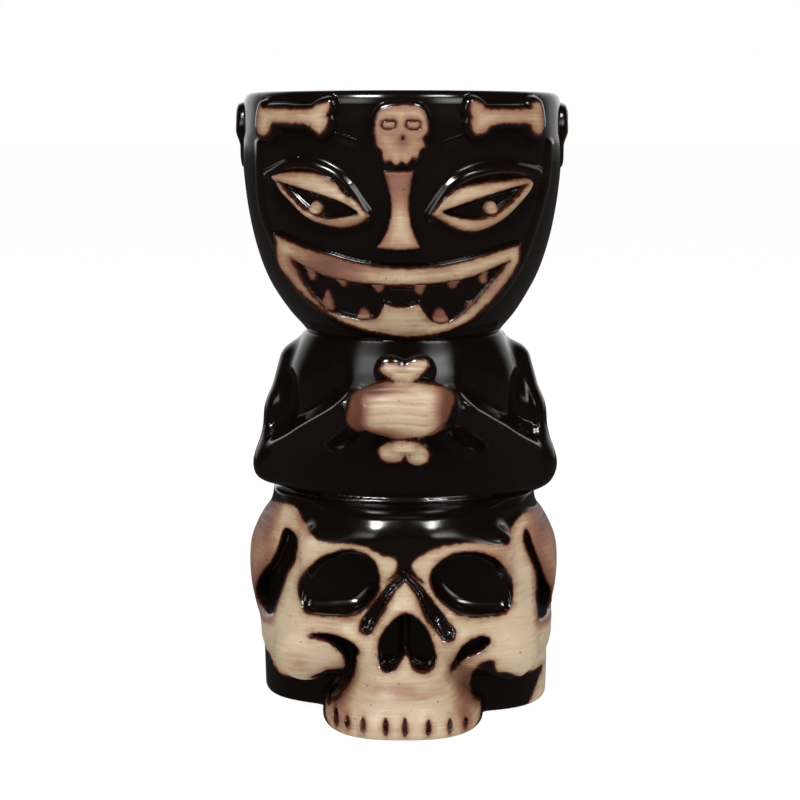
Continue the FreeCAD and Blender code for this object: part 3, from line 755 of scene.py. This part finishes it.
class TorsoGroup:
    """The blended surface of the torso, arms, hands and held bone, and the paint on it."""

    def __init__(self):
        centre = (0.0, BONE_Z)
        self.pocket = Outline(POCKET, centre=(0.0, WAIST_Z))
        self.ledge = curve(LEDGE)
        self.wiped = [Outline(points, centre=centre) for points in (HAND_PAINT, HEART_TOP, HEART_LOW)]
        self.fingers = []
        for up, a, b in FINGER_LINES:
            arc = [(a, up), ((a + b) / 2, up + 0.5), (b, up - 0.3)]
            self.fingers.append(Outline(arc, closed=False, centre=(HAND_X, BONE_Z + 0.6)))

    def body(self, x, y, z, parts):
        """The torso and arms, hollowed inside the bent arms and stepped back over the forearms."""
        body = smooth_min(parts["left_arm"], parts["right_arm"], 2.0)
        body = smooth_min(body, parts["torso"], 4.0)
        front = smoothstep(-y, 2.0, 14.0)
        ax = np.abs(x)
        body = body + POCKET_DEPTH * smoothstep(-self.pocket(ax, z), -0.6, 1.6) * front
        above = 0.77 * (z - WAIST_Z - np.interp(ax, self.ledge[:, 0], self.ledge[:, 1]))
        step = smoothstep(above, -0.4, 0.8) * (1 - smoothstep(above, 1.5, 9.0))
        reach = smoothstep(ax, 15.0, 20.0) * (1 - smoothstep(ax, 38.5, 42.0)) * front
        return body + LEDGE_DEPTH * step * reach - LEDGE_BEAD * bump(above + 0.7, 1.1) * reach

    def fused(self, x, y, z, parts):
        """The whole group's surface, from the distances to its parts."""
        hands = smooth_min(parts["left_hand"], parts["right_hand"], 4.0)
        for finger in self.fingers:
            hands = hands + 0.35 * bump(finger(x, z), 0.8)
        whole = smooth_min(self.body(x, y, z, parts), parts["held_bone"], 1.6)
        whole = smooth_min(whole, hands, 1.4)
        whole = smooth_max(whole, WAIST_Z + 0.5 - 0.035 * x - z, 4.0)
        whole = smooth_max(whole, z - NECK_Z - 1.5, 1.0)
        bead = np.hypot(oval(x, y, 39.0, 33.9, 33.9), z - WAIST_Z - 1.3) - 1.2
        bead = bead + 1.6 * smoothstep(np.abs(x), 20.0, 30.0) + 2.0 * (y > 0)
        whole = smooth_min(whole, bead, 0.8)
        h = z - WAIST_Z
        depth = TORSO_DEPTH(h) - WALL
        inside = oval(x, y, TORSO_WIDTH(h) - WALL, depth, depth)
        return np.maximum(whole, -inside)

    def paint(self, x, y, z):
        """How far each point is inside the wiped hand and hearts, less in the finger lines."""
        marks = np.maximum.reduce([-shape(x, z) for shape in self.wiped])
        marks = np.where(y < HANDS_FRONT, marks, UNPAINTED)
        lines = np.minimum.reduce([finger(x, z) for finger in self.fingers])
        return np.minimum(marks, 3.0) - 1.2 * bump(lines, 0.7) * smoothstep(marks, 0.5, 2.0)

    def stain(self, x, z):
        """The brown wash at both ends of the hand and along its edges."""
        ends = blob(x, z, -14.5, BONE_Z + 0.5, 3.2, 7.5) + blob(x, z, 13.6, BONE_Z + 1.0, 3.4, 7.5)
        ends = ends + 0.5 * blob(x, z, -9.0, BONE_Z - 6.5, 7.0, 2.0)
        ends = ends + 0.5 * blob(x, z, -8.0, BONE_Z + 7.0, 5.0, 2.0)
        return 0.2 + 3.6 * ends


TORSO_GRIDS = {
    "torso": (((-44, 0.7), (44, 0)), ((-38, 0.7), (0, 1.6), (38, 0)), ((59, 0.6), (111, 0))),
    "left_arm": (((-48, 0.55), (-8, 0)), ((-46, 0.55), (14, 0)), ((59, 0.55), (108, 0))),
    "right_arm": (((8, 0.55), (48, 0)), ((-46, 0.55), (14, 0)), ((59, 0.55), (108, 0))),
    "left_hand": (((-18, 0.4), (16, 0)), ((-49, 0.4), (-28, 0)), ((78, 0.4), (102, 0))),
    "right_hand": (((-6, 0.4), (18, 0)), ((-47, 0.4), (-27, 0)), ((78, 0.4), (101, 0))),
    "held_bone": (((-13, 0.4), (13, 0)), ((-47, 0.4), (-29, 0)), ((70, 0.4), (110, 0))),
}


def torso_group_pieces(material):
    """The torso, arms, hands and held bone, cut from one blended surface so that they meet without seams."""
    group = TorsoGroup()
    for node, (gx, gy, gz) in TORSO_GRIDS.items():
        overlap = TORSO_OVERLAP if node == "torso" else OVERLAP

        def field(x, y, z):
            parts = torso_parts(x, y, z)
            own = parts[node]
            others = np.minimum.reduce([d for name, d in parts.items() if name != node])
            tucked = group.fused(x, y, z, parts) + TUCK * smoothstep(own - others, 0.2, 1.4)
            return np.maximum(tucked, own - overlap)
        vertices, faces = net_mesh(field, spaced(*gx), spaced(*gy), spaced(*gz) + (WAIST_Z - GRID_WAIST))
        values, marks = group.paint(*vertices.T), group.stain(vertices[:, 0], vertices[:, 2])
        make_piece(node, vertices, faces, values, marks, material)


# ---- the skull: heights are measured from the ground --------------------------------------
CRANIUM_WIDTH = profile([(0, 43), (8, 43.2), (20, 43.6), (26, 45.2), (33, 46.6), (40, 47), (46, 46.4),
    (50.6, 44.6), (53.8, 42.8), (57, 40.6), (61, 39.6), (66, 39.5)])
CRANIUM_FRONT = profile([(0, 36.5), (12, 36.5), (20, 37), (30, 38), (44, 38), (52, 36.5), (61, 33),
    (66, 33)])
CRANIUM_BACK = profile([(0, 44.5), (12, 47), (25, 50), (38, 50.4), (48, 45), (56, 37), (61, 33), (66, 33)])
FACE_WIDTH = profile([(10, 36.5), (14, 39.5), (18.7, 41.6), (23, 43.2), (26.6, 43.8), (29.4, 42),
    (34, 37.8), (41, 34.6), (47, 33.2), (53, 34.5), (60, 36), (66, 36)])
FACE_FRONT = profile([(10, 40), (16, 42), (24, 44.5), (34, 46), (44, 46.6), (50, 46.2), (54, 46.7),
    (56, 46.4), (58, 45.6), (59.8, 44.4), (61, 41.5), (62.2, 36.5), (64, 33), (68, 33)])
JAW_WIDTH = profile([(-2, 23.2), (0, 23.5), (1.6, 23.4), (4.4, 22), (7.5, 19.4), (10, 17), (13.5, 15.2),
    (19, 13.4), (27, 12.4), (34, 8.5), (42, 6)])
JAW_FRONT = profile([(-2, 62), (0, 63.2), (4, 63), (8, 60.6), (13, 56.6), (22, 53.6), (32, 52.4), (38, 50),
    (44, 46.5)])
ORBITS = [
    [(-30.8, 38), (-30.1, 40.2), (-27.8, 43.7), (-24.3, 47.5), (-19.7, 49.8), (-15.4, 50.8),
        (-11.2, 50), (-8.2, 47.9), (-6.9, 44.5), (-6.6, 40.8), (-7.7, 37.1), (-10.7, 33.5), (-13.7, 31.7),
        (-18.5, 31.1), (-24, 30.8), (-28.4, 31.1), (-29.8, 33.1), (-30.7, 35.7)],
    [(7.3, 42.6), (7.9, 45.1), (10.3, 47.9), (13.9, 49.6), (18.1, 50), (22.3, 49.4), (26.7, 47.3),
        (29.4, 43.8), (31.5, 39.9), (31.9, 36.4), (31.3, 32.8), (29.3, 30.8), (24.3, 30.6), (18.8, 31),
        (14.5, 32.3), (10.9, 35.1), (8.2, 38.6)],
]
NOSE_HOLE = [(0.7, 34), (-2.3, 32.9), (-4.7, 30.4), (-6.7, 27.2), (-7.6, 23.5), (-7.3, 19.6), (-6.1, 17.5),
    (-4.1, 17.3), (-2, 18.3), (-0.5, 20.6), (0.6, 21.9), (1.3, 20.6), (2.5, 18.3), (4.9, 17.1), (7.2, 17.1),
    (9.1, 18.6), (9.2, 22), (7.6, 27.1), (5.5, 30.8), (3.1, 33.1)]
STRAPS = [
    [(0.1, 44.6), (-0.8, 42.6), (-3.5, 40), (-5.9, 36.7), (-8.3, 32.8), (-10.5, 29.3)],
    [(0.1, 44.6), (1.3, 42.6), (4.3, 39.4), (6.7, 35.4), (8.6, 32), (11.2, 28.6)],
]
STRAP_ENDS = [(-10.6, 29.0, 2.1), (12.4, 27.5, 2.5)]
TEMPLES = [
    [(-35.2, 52.6), (-32, 51.8), (-30.9, 49.2), (-31.7, 44), (-33.7, 40.5), (-35.3, 35.9),
        (-37.2, 30.3), (-38.5, 27.6), (-41, 26.6), (-44.6, 27.6), (-44.4, 33), (-42.4, 38), (-39, 43),
        (-37, 47.7)],
    [(36, 52.2), (35.2, 49.3), (36.7, 44.9), (38.7, 40.2), (39.4, 35.5), (39.2, 29.7), (40, 26.4),
        (44.6, 26.6), (44.6, 31), (42.6, 36), (40.4, 42), (38.4, 47.6), (37.2, 51)],
]
HOOK_LEFT = [(-27.8, 25.6), (-23.9, 26.8), (-19.6, 26.9), (-15.4, 25.8), (-12.9, 23.4), (-12.6, 21.7),
    (-13.3, 20), (-13.8, 15.3), (-15, 11.8), (-17.4, 8.4), (-20.5, 5.3), (-23, 8), (-24.2, 10.5),
    (-26.6, 12.4), (-23.8, 14.1), (-21.6, 15.4), (-18, 14.9), (-16.8, 16.3), (-17, 19), (-17.8, 21.3),
    (-20.2, 23.5), (-22.8, 24.6)]
HOOK_RIGHT = [(13.4, 14.8), (14.2, 19.2), (15.6, 22.8), (18, 25.2), (21.7, 26.3), (24.3, 25.7),
    (24.8, 24.1), (22.9, 22.2), (19.9, 20.5), (16.9, 19.1), (15.1, 15.2)]
HOOD = [(-60, 56.5), (-44, 56.8), (-38.2, 58.4), (-34.4, 59.4), (-31.2, 58.6), (-29.8, 56.1), (-27.7, 54.8),
    (-24.5, 52.6), (-20.9, 52.1), (-15.4, 52.1), (-10.6, 51.7), (-8.2, 50.4), (-5.9, 49.3), (-2.9, 48.6),
    (-1.9, 46.9), (-2.6, 44.5), (-5.6, 41.6), (-1.2, 43.4), (0.1, 42), (1.6, 43.4), (5.8, 41), (3.3, 44.4),
    (2.4, 46.7), (3.9, 48.6), (7.3, 50.7), (10.9, 51.8), (15.7, 52.2), (20.5, 52.1), (25.4, 51.3),
    (29.7, 51), (31, 52.6), (32.2, 54.4), (34.3, 56), (37.8, 56.8), (42, 56.6), (60, 56.5), (60, 80),
    (-60, 80)]
UNDER_LEFT = [(-60, 13.4), (-42.4, 12.8), (-39.8, 11.1), (-38.4, 8.9), (-36.2, 7.6), (-31.7, 7.6),
    (-27.9, 8), (-24, 9.6), (-21.2, 12.6), (-17.4, 8.8), (-20.5, 5.3), (-22.7, 2.8), (-18, -2), (-10, -12),
    (-60, -12)]
UNDER_RIGHT = [(25.7, 18.6), (22.4, 18.5), (20.2, 14.9), (19.3, 9.7), (19.5, 7.3), (20.4, 5.6), (22.3, 2.8),
    (18, -2), (12, -12), (33, -12), (36.5, -0.7), (37.9, 2), (39.6, 5.8), (41.4, 10.5), (36.7, 10.6),
    (30.4, 14.4), (26.8, 15)]
TOOTH_X = [-19.2, -15.9, -11.4, -5.1, 0.3, 6.9, 12.9, 17.5]
TOOTH_Z = [(1.4, 5.2), (2.2, 5.2), (1.8, 5.6), (1.6, 5.9), (1.5, 5.9), (1.4, 5.4), (1.4, 5), (1.6, 4.2)]
CHEEK = [(15.0, -44.0, 24.5, 7.0), (29.0, -36.5, 20.0, 8.8), (35.4, -17.0, 20.0, 7.2), (38.6, 2.0, 21.0, 5.0)]
BROW_BAR = [(8.0, -39.6, 49.6, 6.0), (26.0, -35.6, 49.4, 5.4)]
SLOT_HALF = 0.75          # half the width of the slots between the teeth
FACE_X = 0.8              # the cheeks sit a touch to the right of the axis
SKULL_STAINS = [(1.1, (-18.5, 10, 3, 7)), (1.3, (17.5, 9.5, 3, 7)), (0.65, (1, 12.5, 10, 2.6)),
    (0.5, (-30.5, 17, 4, 3)), (0.5, (26.5, 47, 6, 5)), (0.4, (-29, 55, 5, 5)), (0.4, (17, 22, 6, 3)),
    (0.3, (33, 56, 5, 4))]
# depths are y values: how far back each hollow's floor is
ORBIT_FLOOR, NOSE_FLOOR, HOOK_FLOORS = -36.0, -45.0, (-37.0, -42.5)
GROOVE_DEPTH, TEMPLE_DEPTH, SLOT_CUT = 1.2, 4.0, 1.3
CARVED_Y, WIPED_Y = -8.0, -2.0            # the carving and the painted face are in front of these
BAND_TOP, CAP_FOOT = 13.0, 56.8           # the black band round the foot and the black cap, behind
FOOT_TOP = 24.0           # the cranium is lopsided below this
FOREHEAD = (44.0, 51.0)   # the face changes into the forehead between these heights
MATT_FROM, MATT_FULL = 2.0, 3.0           # stain values at which the black turns matt
MATT = 3.5                # the stain value added in the temples


class Skull:
    """The skull's field, paint and stain."""

    def __init__(self):
        self.orbits = [Outline(points) for points in ORBITS]
        self.nose = Outline(NOSE_HOLE)
        self.straps = union([Outline(points, closed=False) for points in STRAPS])
        self.temples = [Outline(points) for points in TEMPLES]
        self.hooks = [Outline(HOOK_LEFT), Outline(HOOK_RIGHT)]
        self.black = [Outline(HOOD), Outline(UNDER_LEFT), Outline(UNDER_RIGHT)]

    def strap(self, x, z):
        """Distance to the two straps that run down from the brow."""
        half = 1.35 + (0.6 + 0.3 * (x > 0)) * smoothstep(41.0 - z, 0.0, 9.0)
        ends = np.minimum.reduce([np.hypot(x - a, z - b) - r for a, b, r in STRAP_ENDS])
        return smooth_min(self.straps(x, z) - half, ends, 0.6)

    def slots(self, x, z):
        """Distance to the slots between the teeth."""
        best = 99.0
        for across, (low, high) in zip(TOOTH_X, TOOTH_Z):
            dz = np.clip(z, low, high) - z
            width = SLOT_HALF * np.sqrt(np.clip(1 - (2 * (z - low) / (high - low) - 1) ** 2, 0.10, 1))
            best = np.minimum(best, np.hypot(x - across, dz) - width)
        return best

    def cranium(self, x, y, z):
        """Distance to the round of the skull, which turns lopsided towards its foot."""
        foot = 1 - smoothstep(z, 10.0, FOOT_TOP)
        slant = np.where(x < 0, 0.32, 0.02) * x * foot * (y < 0)
        power = 2.4 + np.where(x < 0, 2.6, 0.9) * foot
        front, back = CRANIUM_FRONT(z), CRANIUM_BACK(z)
        return oval(x - 0.4 * foot, y - 1.0 + slant, CRANIUM_WIDTH(z), front, back, power)

    def face(self, x, y, z, across, high):
        """Distance to the block of the face; high is 1 on the forehead and 0 below it."""
        back = 8.0 - 7.0 * high
        depth = FACE_FRONT(z) - back
        face = oval(across, np.minimum(y + back, 0.0), FACE_WIDTH(z), depth, 60.0, 2.9 - 0.8 * high)
        face = smooth_max(face, y + 6.0, 3.0)
        return smooth_max(face, 12.5 - z + 0.12 * np.clip(np.abs(x) - 30, -12, 30), 4.0)

    def jaw(self, x, y, z):
        """Distance to the jaw, with the bone between the eyes above it."""
        jaw = oval(x + 0.2, np.minimum(y + 30.0, 0.0), JAW_WIDTH(z), JAW_FRONT(z) - 30.0, 40.0, 2.7)
        jaw = smooth_max(jaw, y + 14.0, 3.0)
        return smooth_max(jaw, z - 40.0, 4.0)

    def mass(self, x, y, z):
        """The skull without its carving."""
        across = x - FACE_X * smoothstep(y, -48.0, -36.0)
        high = smoothstep(z, *FOREHEAD)
        ax = np.abs(across)
        whole = smooth_min(self.cranium(x, y, z), self.face(x, y, z, across, high), 1.5 + 3.5 * high)
        whole = smooth_min(whole, limb(ax, y, z, *BROW_BAR), 6.0)
        whole = smooth_min(whole, self.jaw(x, y, z), 3.5)
        whole = smooth_min(whole, chain(ax, y, z, CHEEK, 2.0), 3.0)
        ring = np.hypot(oval(x, y, 37.8, 34.0, 33.0), z - WAIST_Z + 1.6) - 1.1
        return smooth_min(whole, ring, 0.5)

    def carving(self, x, z):
        """How deep the straps' grooves, the temples and the slots between the teeth go."""
        strap = -self.strap(x, z)
        depth = GROOVE_DEPTH * smoothstep(strap, 0.1, 0.7) * (1 - smoothstep(strap, 0.4, 1.5))
        for temple in self.temples:
            depth = depth + TEMPLE_DEPTH * smoothstep(-temple(x, z), -0.8, 2.4)
        return depth + SLOT_CUT * smoothstep(-self.slots(x, z), -0.3, 0.3)

    def hollows(self, x, z):
        """The sunk outlines: distance into each, how far back its floor is, and its rounding."""
        for orbit in self.orbits:
            inside = -orbit(x, z) - 0.7
            yield inside, ORBIT_FLOOR - 2.5 * (1 - np.sqrt(np.clip(inside / 2.5, 0, 1))), 1.6
        yield -self.nose(x, z) - 0.6, NOSE_FLOOR - 3.0 * bump(x - 0.4, 1.6), 1.0
        for hook, floor in zip(self.hooks, HOOK_FLOORS):
            yield -hook(x, z) - 0.5, floor, 1.4

    def __call__(self, x, y, z):
        """Distance to the carved skull."""
        whole = self.mass(x, y, z)
        for inside, floor, rounding in self.hollows(x, z):
            whole = smooth_max(whole, np.minimum(inside, floor - y), rounding)
        whole = whole + np.where(y < CARVED_Y, self.carving(x, z), 0.0)
        whole = smooth_max(whole, -z, 1.6)
        whole = smooth_max(whole, z - WAIST_Z - 1.0, 0.6)
        upper = smoothstep(z, 40.0, 56.0)
        cavity = oval(x, y - 2.0, 34.5 - 6.0 * upper, 26.0, 38.0 - 14.0 * upper)
        cavity = smooth_max(cavity, 5.0 - z, 2.0)
        return np.maximum(whole, -cavity)

    def paint(self, x, y, z):
        """How far each point is inside the wiped area, negative in the black."""
        shapes = self.black + self.orbits + [self.nose, self.strap] + self.temples + self.hooks
        black = np.maximum.reduce([-shape(x, z) for shape in shapes] + [-self.slots(x, z) - 0.05])
        foot = np.minimum(BAND_TOP - z, np.where(x > 0, y - 8.0 + 0.8 * z, 90.0))
        back = np.maximum(z - CAP_FOOT, foot)
        return -np.where(y < WIPED_Y, black, back)

    def stain(self, x, y, z):
        """The pinkish-brown wash on the sides, in patches and round the matt black temples."""
        sides = smoothstep(np.abs(x), 37.5, 41.5) * smoothstep(z, 24, 29)
        rear = smoothstep(y, -22, -6) * smoothstep(z, 22, 30)
        marks = sum(strength * blob(x, z, *patch) for strength, patch in SKULL_STAINS)
        dark = 1.2 * smoothstep(np.abs(x), 35.0, 40.0) * smoothstep(z, 44, 56)
        temple = np.minimum.reduce([shape(x, z) for shape in self.temples])
        round_temple = (1 - smoothstep(temple, 0.0, 4.5)) * smoothstep(np.abs(x), 36.0, 40.0)
        dark = dark + 0.45 * round_temple * (z < 50) * smoothstep(-y, 0.0, 12.0)
        dark = dark + MATT * smoothstep(-temple, 0.0, 0.8) * (1 - smoothstep(z, 36.0, 42.0)) * (y < WIPED_Y)
        return 0.1 + np.maximum(np.maximum(0.72 * sides, 0.8 * rear), marks) + dark


def skull_base(material):
    """The skull the figure sits on."""
    skull = Skull()
    xs = spaced((-50, 0.6), (50, 0))
    ys = spaced((-66, 0.6), (-14, 1.5), (55, 0))
    zs = spaced((-1.2, 0.6), (64, 0))
    vertices, faces = net_mesh(skull, xs, ys, zs)
    values, marks = skull.paint(*vertices.T), skull.stain(*vertices.T)
    make_piece("skull_base", vertices, faces, values, marks, material)


# ---- materials ----------------------------------------------------------------------------
class Nodes:
    """A short way to write a shader."""

    def __init__(self, holder):
        self.tree = holder.node_tree
        self.tree.nodes.clear()

    def add(self, kind, **settings):
        node = self.tree.nodes.new("ShaderNode" + kind)
        for key, value in settings.items():
            setattr(node, key, value)
        return node

    def feed(self, node, values):
        """Links or sets a node's inputs, named or numbered, and returns its first output."""
        for key, value in values.items():
            socket = node.inputs[key]
            if isinstance(value, bpy.types.NodeSocket):
                self.tree.links.new(value, socket)
            else:
                socket.default_value = value
        return node.outputs[0] if node.outputs else None

    def math(self, operation, *values):
        return self.feed(self.add("Math", operation=operation), dict(enumerate(values)))

    def ramp(self, value, low, high, out_low=0.0, out_high=1.0):
        node = self.add("MapRange", interpolation_type="SMOOTHSTEP")
        return self.feed(node, {"Value": value, "From Min": low, "From Max": high,
                                "To Min": out_low, "To Max": out_high})

    def mix(self, factor, a, b):
        node = self.add("Mix", data_type="RGBA")
        self.feed(node, {0: factor, 6: a, 7: b})
        return node.outputs[2]

    def noise(self, scale, detail=3.0, stretch=(1.0, 1.0, 1.0), offset=0.0):
        place = self.add("NewGeometry").outputs["Position"]
        moved = self.feed(self.add("Mapping"), {"Vector": place, "Scale": [s / MM for s in stretch],
                                                "Location": (offset, offset, offset)})
        return self.feed(self.add("TexNoise"), {"Vector": moved, "Scale": scale, "Detail": detail})

    def bump(self, height, strength, distance, **more):
        values = {"Height": height, "Strength": strength, "Distance": distance * MM}
        return self.feed(self.add("Bump"), {**values, **more})

    def emission(self, strength):
        return self.feed(self.add("Emission"), {"Color": (1, 1, 1, 1), "Strength": strength})

    def end(self, kind, surface):
        self.feed(self.add(kind), {"Surface": surface})


def new_material(name):
    """A material and its emptied node tree."""
    material = bpy.data.materials.new(name)
    material.use_nodes = True
    return material, Nodes(material)


def bone_colour(n, level, wash, streaks):
    """Cream ware, browner with the wash, in streaks, near the black and in scattered specks."""
    mottle = n.noise(0.16, 3.0, offset=7.0)
    depth = n.math("MULTIPLY_ADD", streaks, 0.9, n.math("MULTIPLY_ADD", mottle, 0.9, -0.9))
    inner = n.ramp(level, 0.0, 2.6, 0.42, 0.0)
    amount = n.math("ADD", n.math("ADD", wash, inner), n.math("MULTIPLY", depth, 0.9))
    bone = n.mix(n.ramp(mottle, 0.35, 0.7), CREAM, PALE)
    bone = n.mix(n.ramp(amount, 0.0, 0.75, 0.0, 0.95), bone, TAN)
    bone = n.mix(n.ramp(amount, 0.45, 1.25, 0.0, 0.95), bone, STAIN)
    bone = n.mix(n.ramp(amount, 1.0, 2.3, 0.0, 0.92), bone, SPECK)
    specks = n.ramp(n.noise(0.9, 1.0, offset=31.0), 0.735, 0.765)
    bone = n.mix(n.math("MULTIPLY", specks, 0.8), bone, SPECK)
    return n.mix(n.ramp(level, 0.0, 0.7, 0.55, 0.0), bone, SPECK)


BLACK = (0.0045, 0.0022, 0.0016, 1.0)
RED_BROWN = (0.075, 0.018, 0.008, 1.0)
CREAM = (0.51, 0.390, 0.255, 1.0)
PALE = (0.57, 0.460, 0.315, 1.0)
TAN = (0.36, 0.212, 0.118, 1.0)
STAIN = (0.25, 0.102, 0.062, 1.0)
SPECK = (0.10, 0.035, 0.02, 1.0)


def ware_material(name):
    """Bone-coloured ware under a black glaze that was wiped off its high places."""
    material, n = new_material(name)
    paint = n.add("Attribute", attribute_name="paint").outputs["Fac"]
    wash = n.add("Attribute", attribute_name="stain").outputs["Fac"]
    ragged = n.math("MULTIPLY_ADD", n.noise(0.55, 4.0), 1.1, -0.55)
    level = n.math("ADD", paint, ragged)
    wiped = n.ramp(level, -0.12, 0.12)
    near = n.ramp(n.math("ABSOLUTE", level), 0.0, 0.75, 1.0, 0.0)
    streaks = n.noise(1.0, 4.0, (0.10, 0.10, 1.3))
    bone = bone_colour(n, level, wash, streaks)
    glaze = n.mix(near, BLACK, RED_BROWN)
    rough_bone = n.ramp(streaks, 0.3, 0.7, 0.40, 0.52)
    rough_glaze = n.ramp(wash, MATT_FROM, MATT_FULL, 0.14, 0.7)
    rough = n.feed(n.add("Mix", data_type="FLOAT"), {0: wiped, 2: rough_glaze, 3: rough_bone})
    grain = n.math("MULTIPLY", n.noise(0.8, 4.0, (0.25, 0.25, 1.6)), wiped)
    fine = n.bump(grain, 0.35, 0.25)
    slow = n.bump(n.noise(0.09, 1.0, offset=3.0), 0.5, 0.5, Normal=fine)
    surface = n.feed(n.add("BsdfPrincipled"), {
        "Base Color": n.mix(wiped, glaze, bone),
        "Roughness": rough,
        "Specular IOR Level": n.ramp(wash, MATT_FROM, MATT_FULL, 0.5, 0.04),
        "IOR": 1.5,
        "Normal": slow,
    })
    n.end("OutputMaterial", surface)
    return material


def floor_material():
    """A pale floor, white like the backdrop, that hardly shows in the glaze."""
    material, n = new_material("pale_floor")
    glossy = n.add("LightPath").outputs["Is Glossy Ray"]
    pale = n.feed(n.add("BsdfDiffuse"), {"Color": (0.14, 0.14, 0.14, 1)})
    dull = n.feed(n.add("BsdfDiffuse"), {"Color": (0.02, 0.02, 0.02, 1)})
    ground = n.feed(n.add("MixShader"), {0: glossy, 1: pale, 2: dull})
    glow = n.emission(n.math("MULTIPLY_ADD", n.math("SUBTRACT", 1.0, glossy), 0.90, 0.03))
    n.end("OutputMaterial", n.feed(n.add("AddShader"), {0: ground, 1: glow}))
    return material


# ---- the studio ---------------------------------------------------------------------------
CAMERA_PLACE = (-1.07, -600.0, 166.35)
CAMERA_DOWN = math.radians(7.46)
CAMERA_LENS = 89.42
TARGET = (0.0, -20.0, 95.0)              # where the lights are aimed
LIGHT_DISTANCE = 1500.0


def studio_world():
    """White for the camera, and dark in front with a bright backdrop behind for reflections."""
    world = bpy.data.worlds.new("studio")
    bpy.context.scene.world = world
    world.use_nodes = True
    n = Nodes(world)
    rays = n.add("LightPath").outputs
    split = n.add("SeparateXYZ")
    n.feed(split, {0: n.add("TexCoord").outputs["Generated"]})
    backdrop = n.ramp(split.outputs[1], 0.45, 0.95, 0.012, 1.2)
    diffuse = n.math("MULTIPLY", rays["Is Diffuse Ray"], 0.45)
    glossy = n.math("MULTIPLY", rays["Is Glossy Ray"], backdrop)
    level = n.math("ADD", n.math("ADD", rays["Is Camera Ray"], diffuse), glossy)
    n.end("OutputWorld", n.feed(n.add("Background"), {"Color": (1, 1, 1, 1), "Strength": level}))


def soften(light):
    """Makes a light fade towards its edges."""
    light.use_nodes = True
    n = Nodes(light)
    place = n.add("SeparateXYZ")
    n.feed(place, {0: n.add("NewGeometry").outputs["Parametric"]})
    fall = 1.0
    for part in place.outputs[:2]:
        inward = n.math("SUBTRACT", 0.5, n.math("ABSOLUTE", n.math("SUBTRACT", part, 0.5)))
        fall = n.math("MULTIPLY", fall, n.ramp(inward, 0.0, 0.4, 0.0, 1.5))
    n.end("OutputLight", n.emission(fall))


def softbox(name, azimuth, elevation, width, height, radiance, soft=False, seen="all"):
    """A rectangular light aimed at the mug; azimuth 0 is in front, positive to the right."""
    light = bpy.data.lights.new(name, "AREA")
    light.shape = "RECTANGLE"
    light.size, light.size_y = width * MM, height * MM
    light.energy = radiance * math.pi * light.size * light.size_y
    if soft:
        soften(light)
    a, e = math.radians(azimuth), math.radians(elevation)
    lamp = bpy.data.objects.new(name, light)
    direction = np.array([math.sin(a) * math.cos(e), -math.cos(a) * math.cos(e), math.sin(e)])
    offset = direction * LIGHT_DISTANCE
    lamp.location = (np.array(TARGET) + offset) * MM
    lamp.rotation_euler = Vector(-offset).to_track_quat("-Z", "Y").to_euler()
    lamp.visible_camera = False
    lamp.visible_diffuse = seen != "glossy"
    lamp.visible_glossy = seen != "diffuse"
    bpy.context.scene.collection.objects.link(lamp)


def lights():
    """Soft side lights, keys that shade the ware, strips that shine in the glaze, and a top light."""
    for side in (-1, 1):
        softbox("side_%d" % side, side * 36, 22, 900, 640, 1.6 + 0.4 * side, soft=True)
        softbox("key_%d" % side, side * 34, 44, 380, 330, 17.0, seen="diffuse")
        softbox("strip_%d" % side, side * 30, 44, 560, 300, 28.0 - 14.0 * side, soft=True, seen="glossy")
    softbox("top", 0, 76, 230, 170, 7.0, seen="diffuse")


def plain_floor():
    """A large square floor under the mug, in metres."""
    half = 40.0
    mesh = bpy.data.meshes.new("floor")
    corners = [(-half, -half, 0), (half, -half, 0), (half, half, 0), (-half, half, 0)]
    mesh.from_pydata(corners, [], [(0, 1, 2, 3)])
    mesh.materials.append(floor_material())
    floor = bpy.data.objects.new("floor", mesh)
    bpy.context.scene.collection.objects.link(floor)


def photo_camera():
    """The camera, at the photograph's viewing angle."""
    camera = bpy.data.cameras.new("camera")
    camera.lens, camera.sensor_width = CAMERA_LENS, 36.0
    camera.clip_start, camera.clip_end = 0.01, 100.0
    viewer = bpy.data.objects.new("camera", camera)
    viewer.location = [c * MM for c in CAMERA_PLACE]
    viewer.rotation_euler = (math.pi / 2 - CAMERA_DOWN, 0, 0)
    scene = bpy.context.scene
    scene.collection.objects.link(viewer)
    scene.camera = viewer
    scene.view_settings.view_transform = "Standard"
    scene.cycles.use_denoising = True


WARE = ware_material("wiped_ware")
GLAZE = ware_material("black_glaze_ware")
head_bowl(GLAZE)
eyes(WARE)
brows(GLAZE)
nose(WARE)
lips(WARE)
teeth(WARE)
rim_skulls(WARE)
rim_bones(WARE)
torso_group_pieces(WARE)
skull_base(WARE)
studio_world()
lights()
plain_floor()
photo_camera()
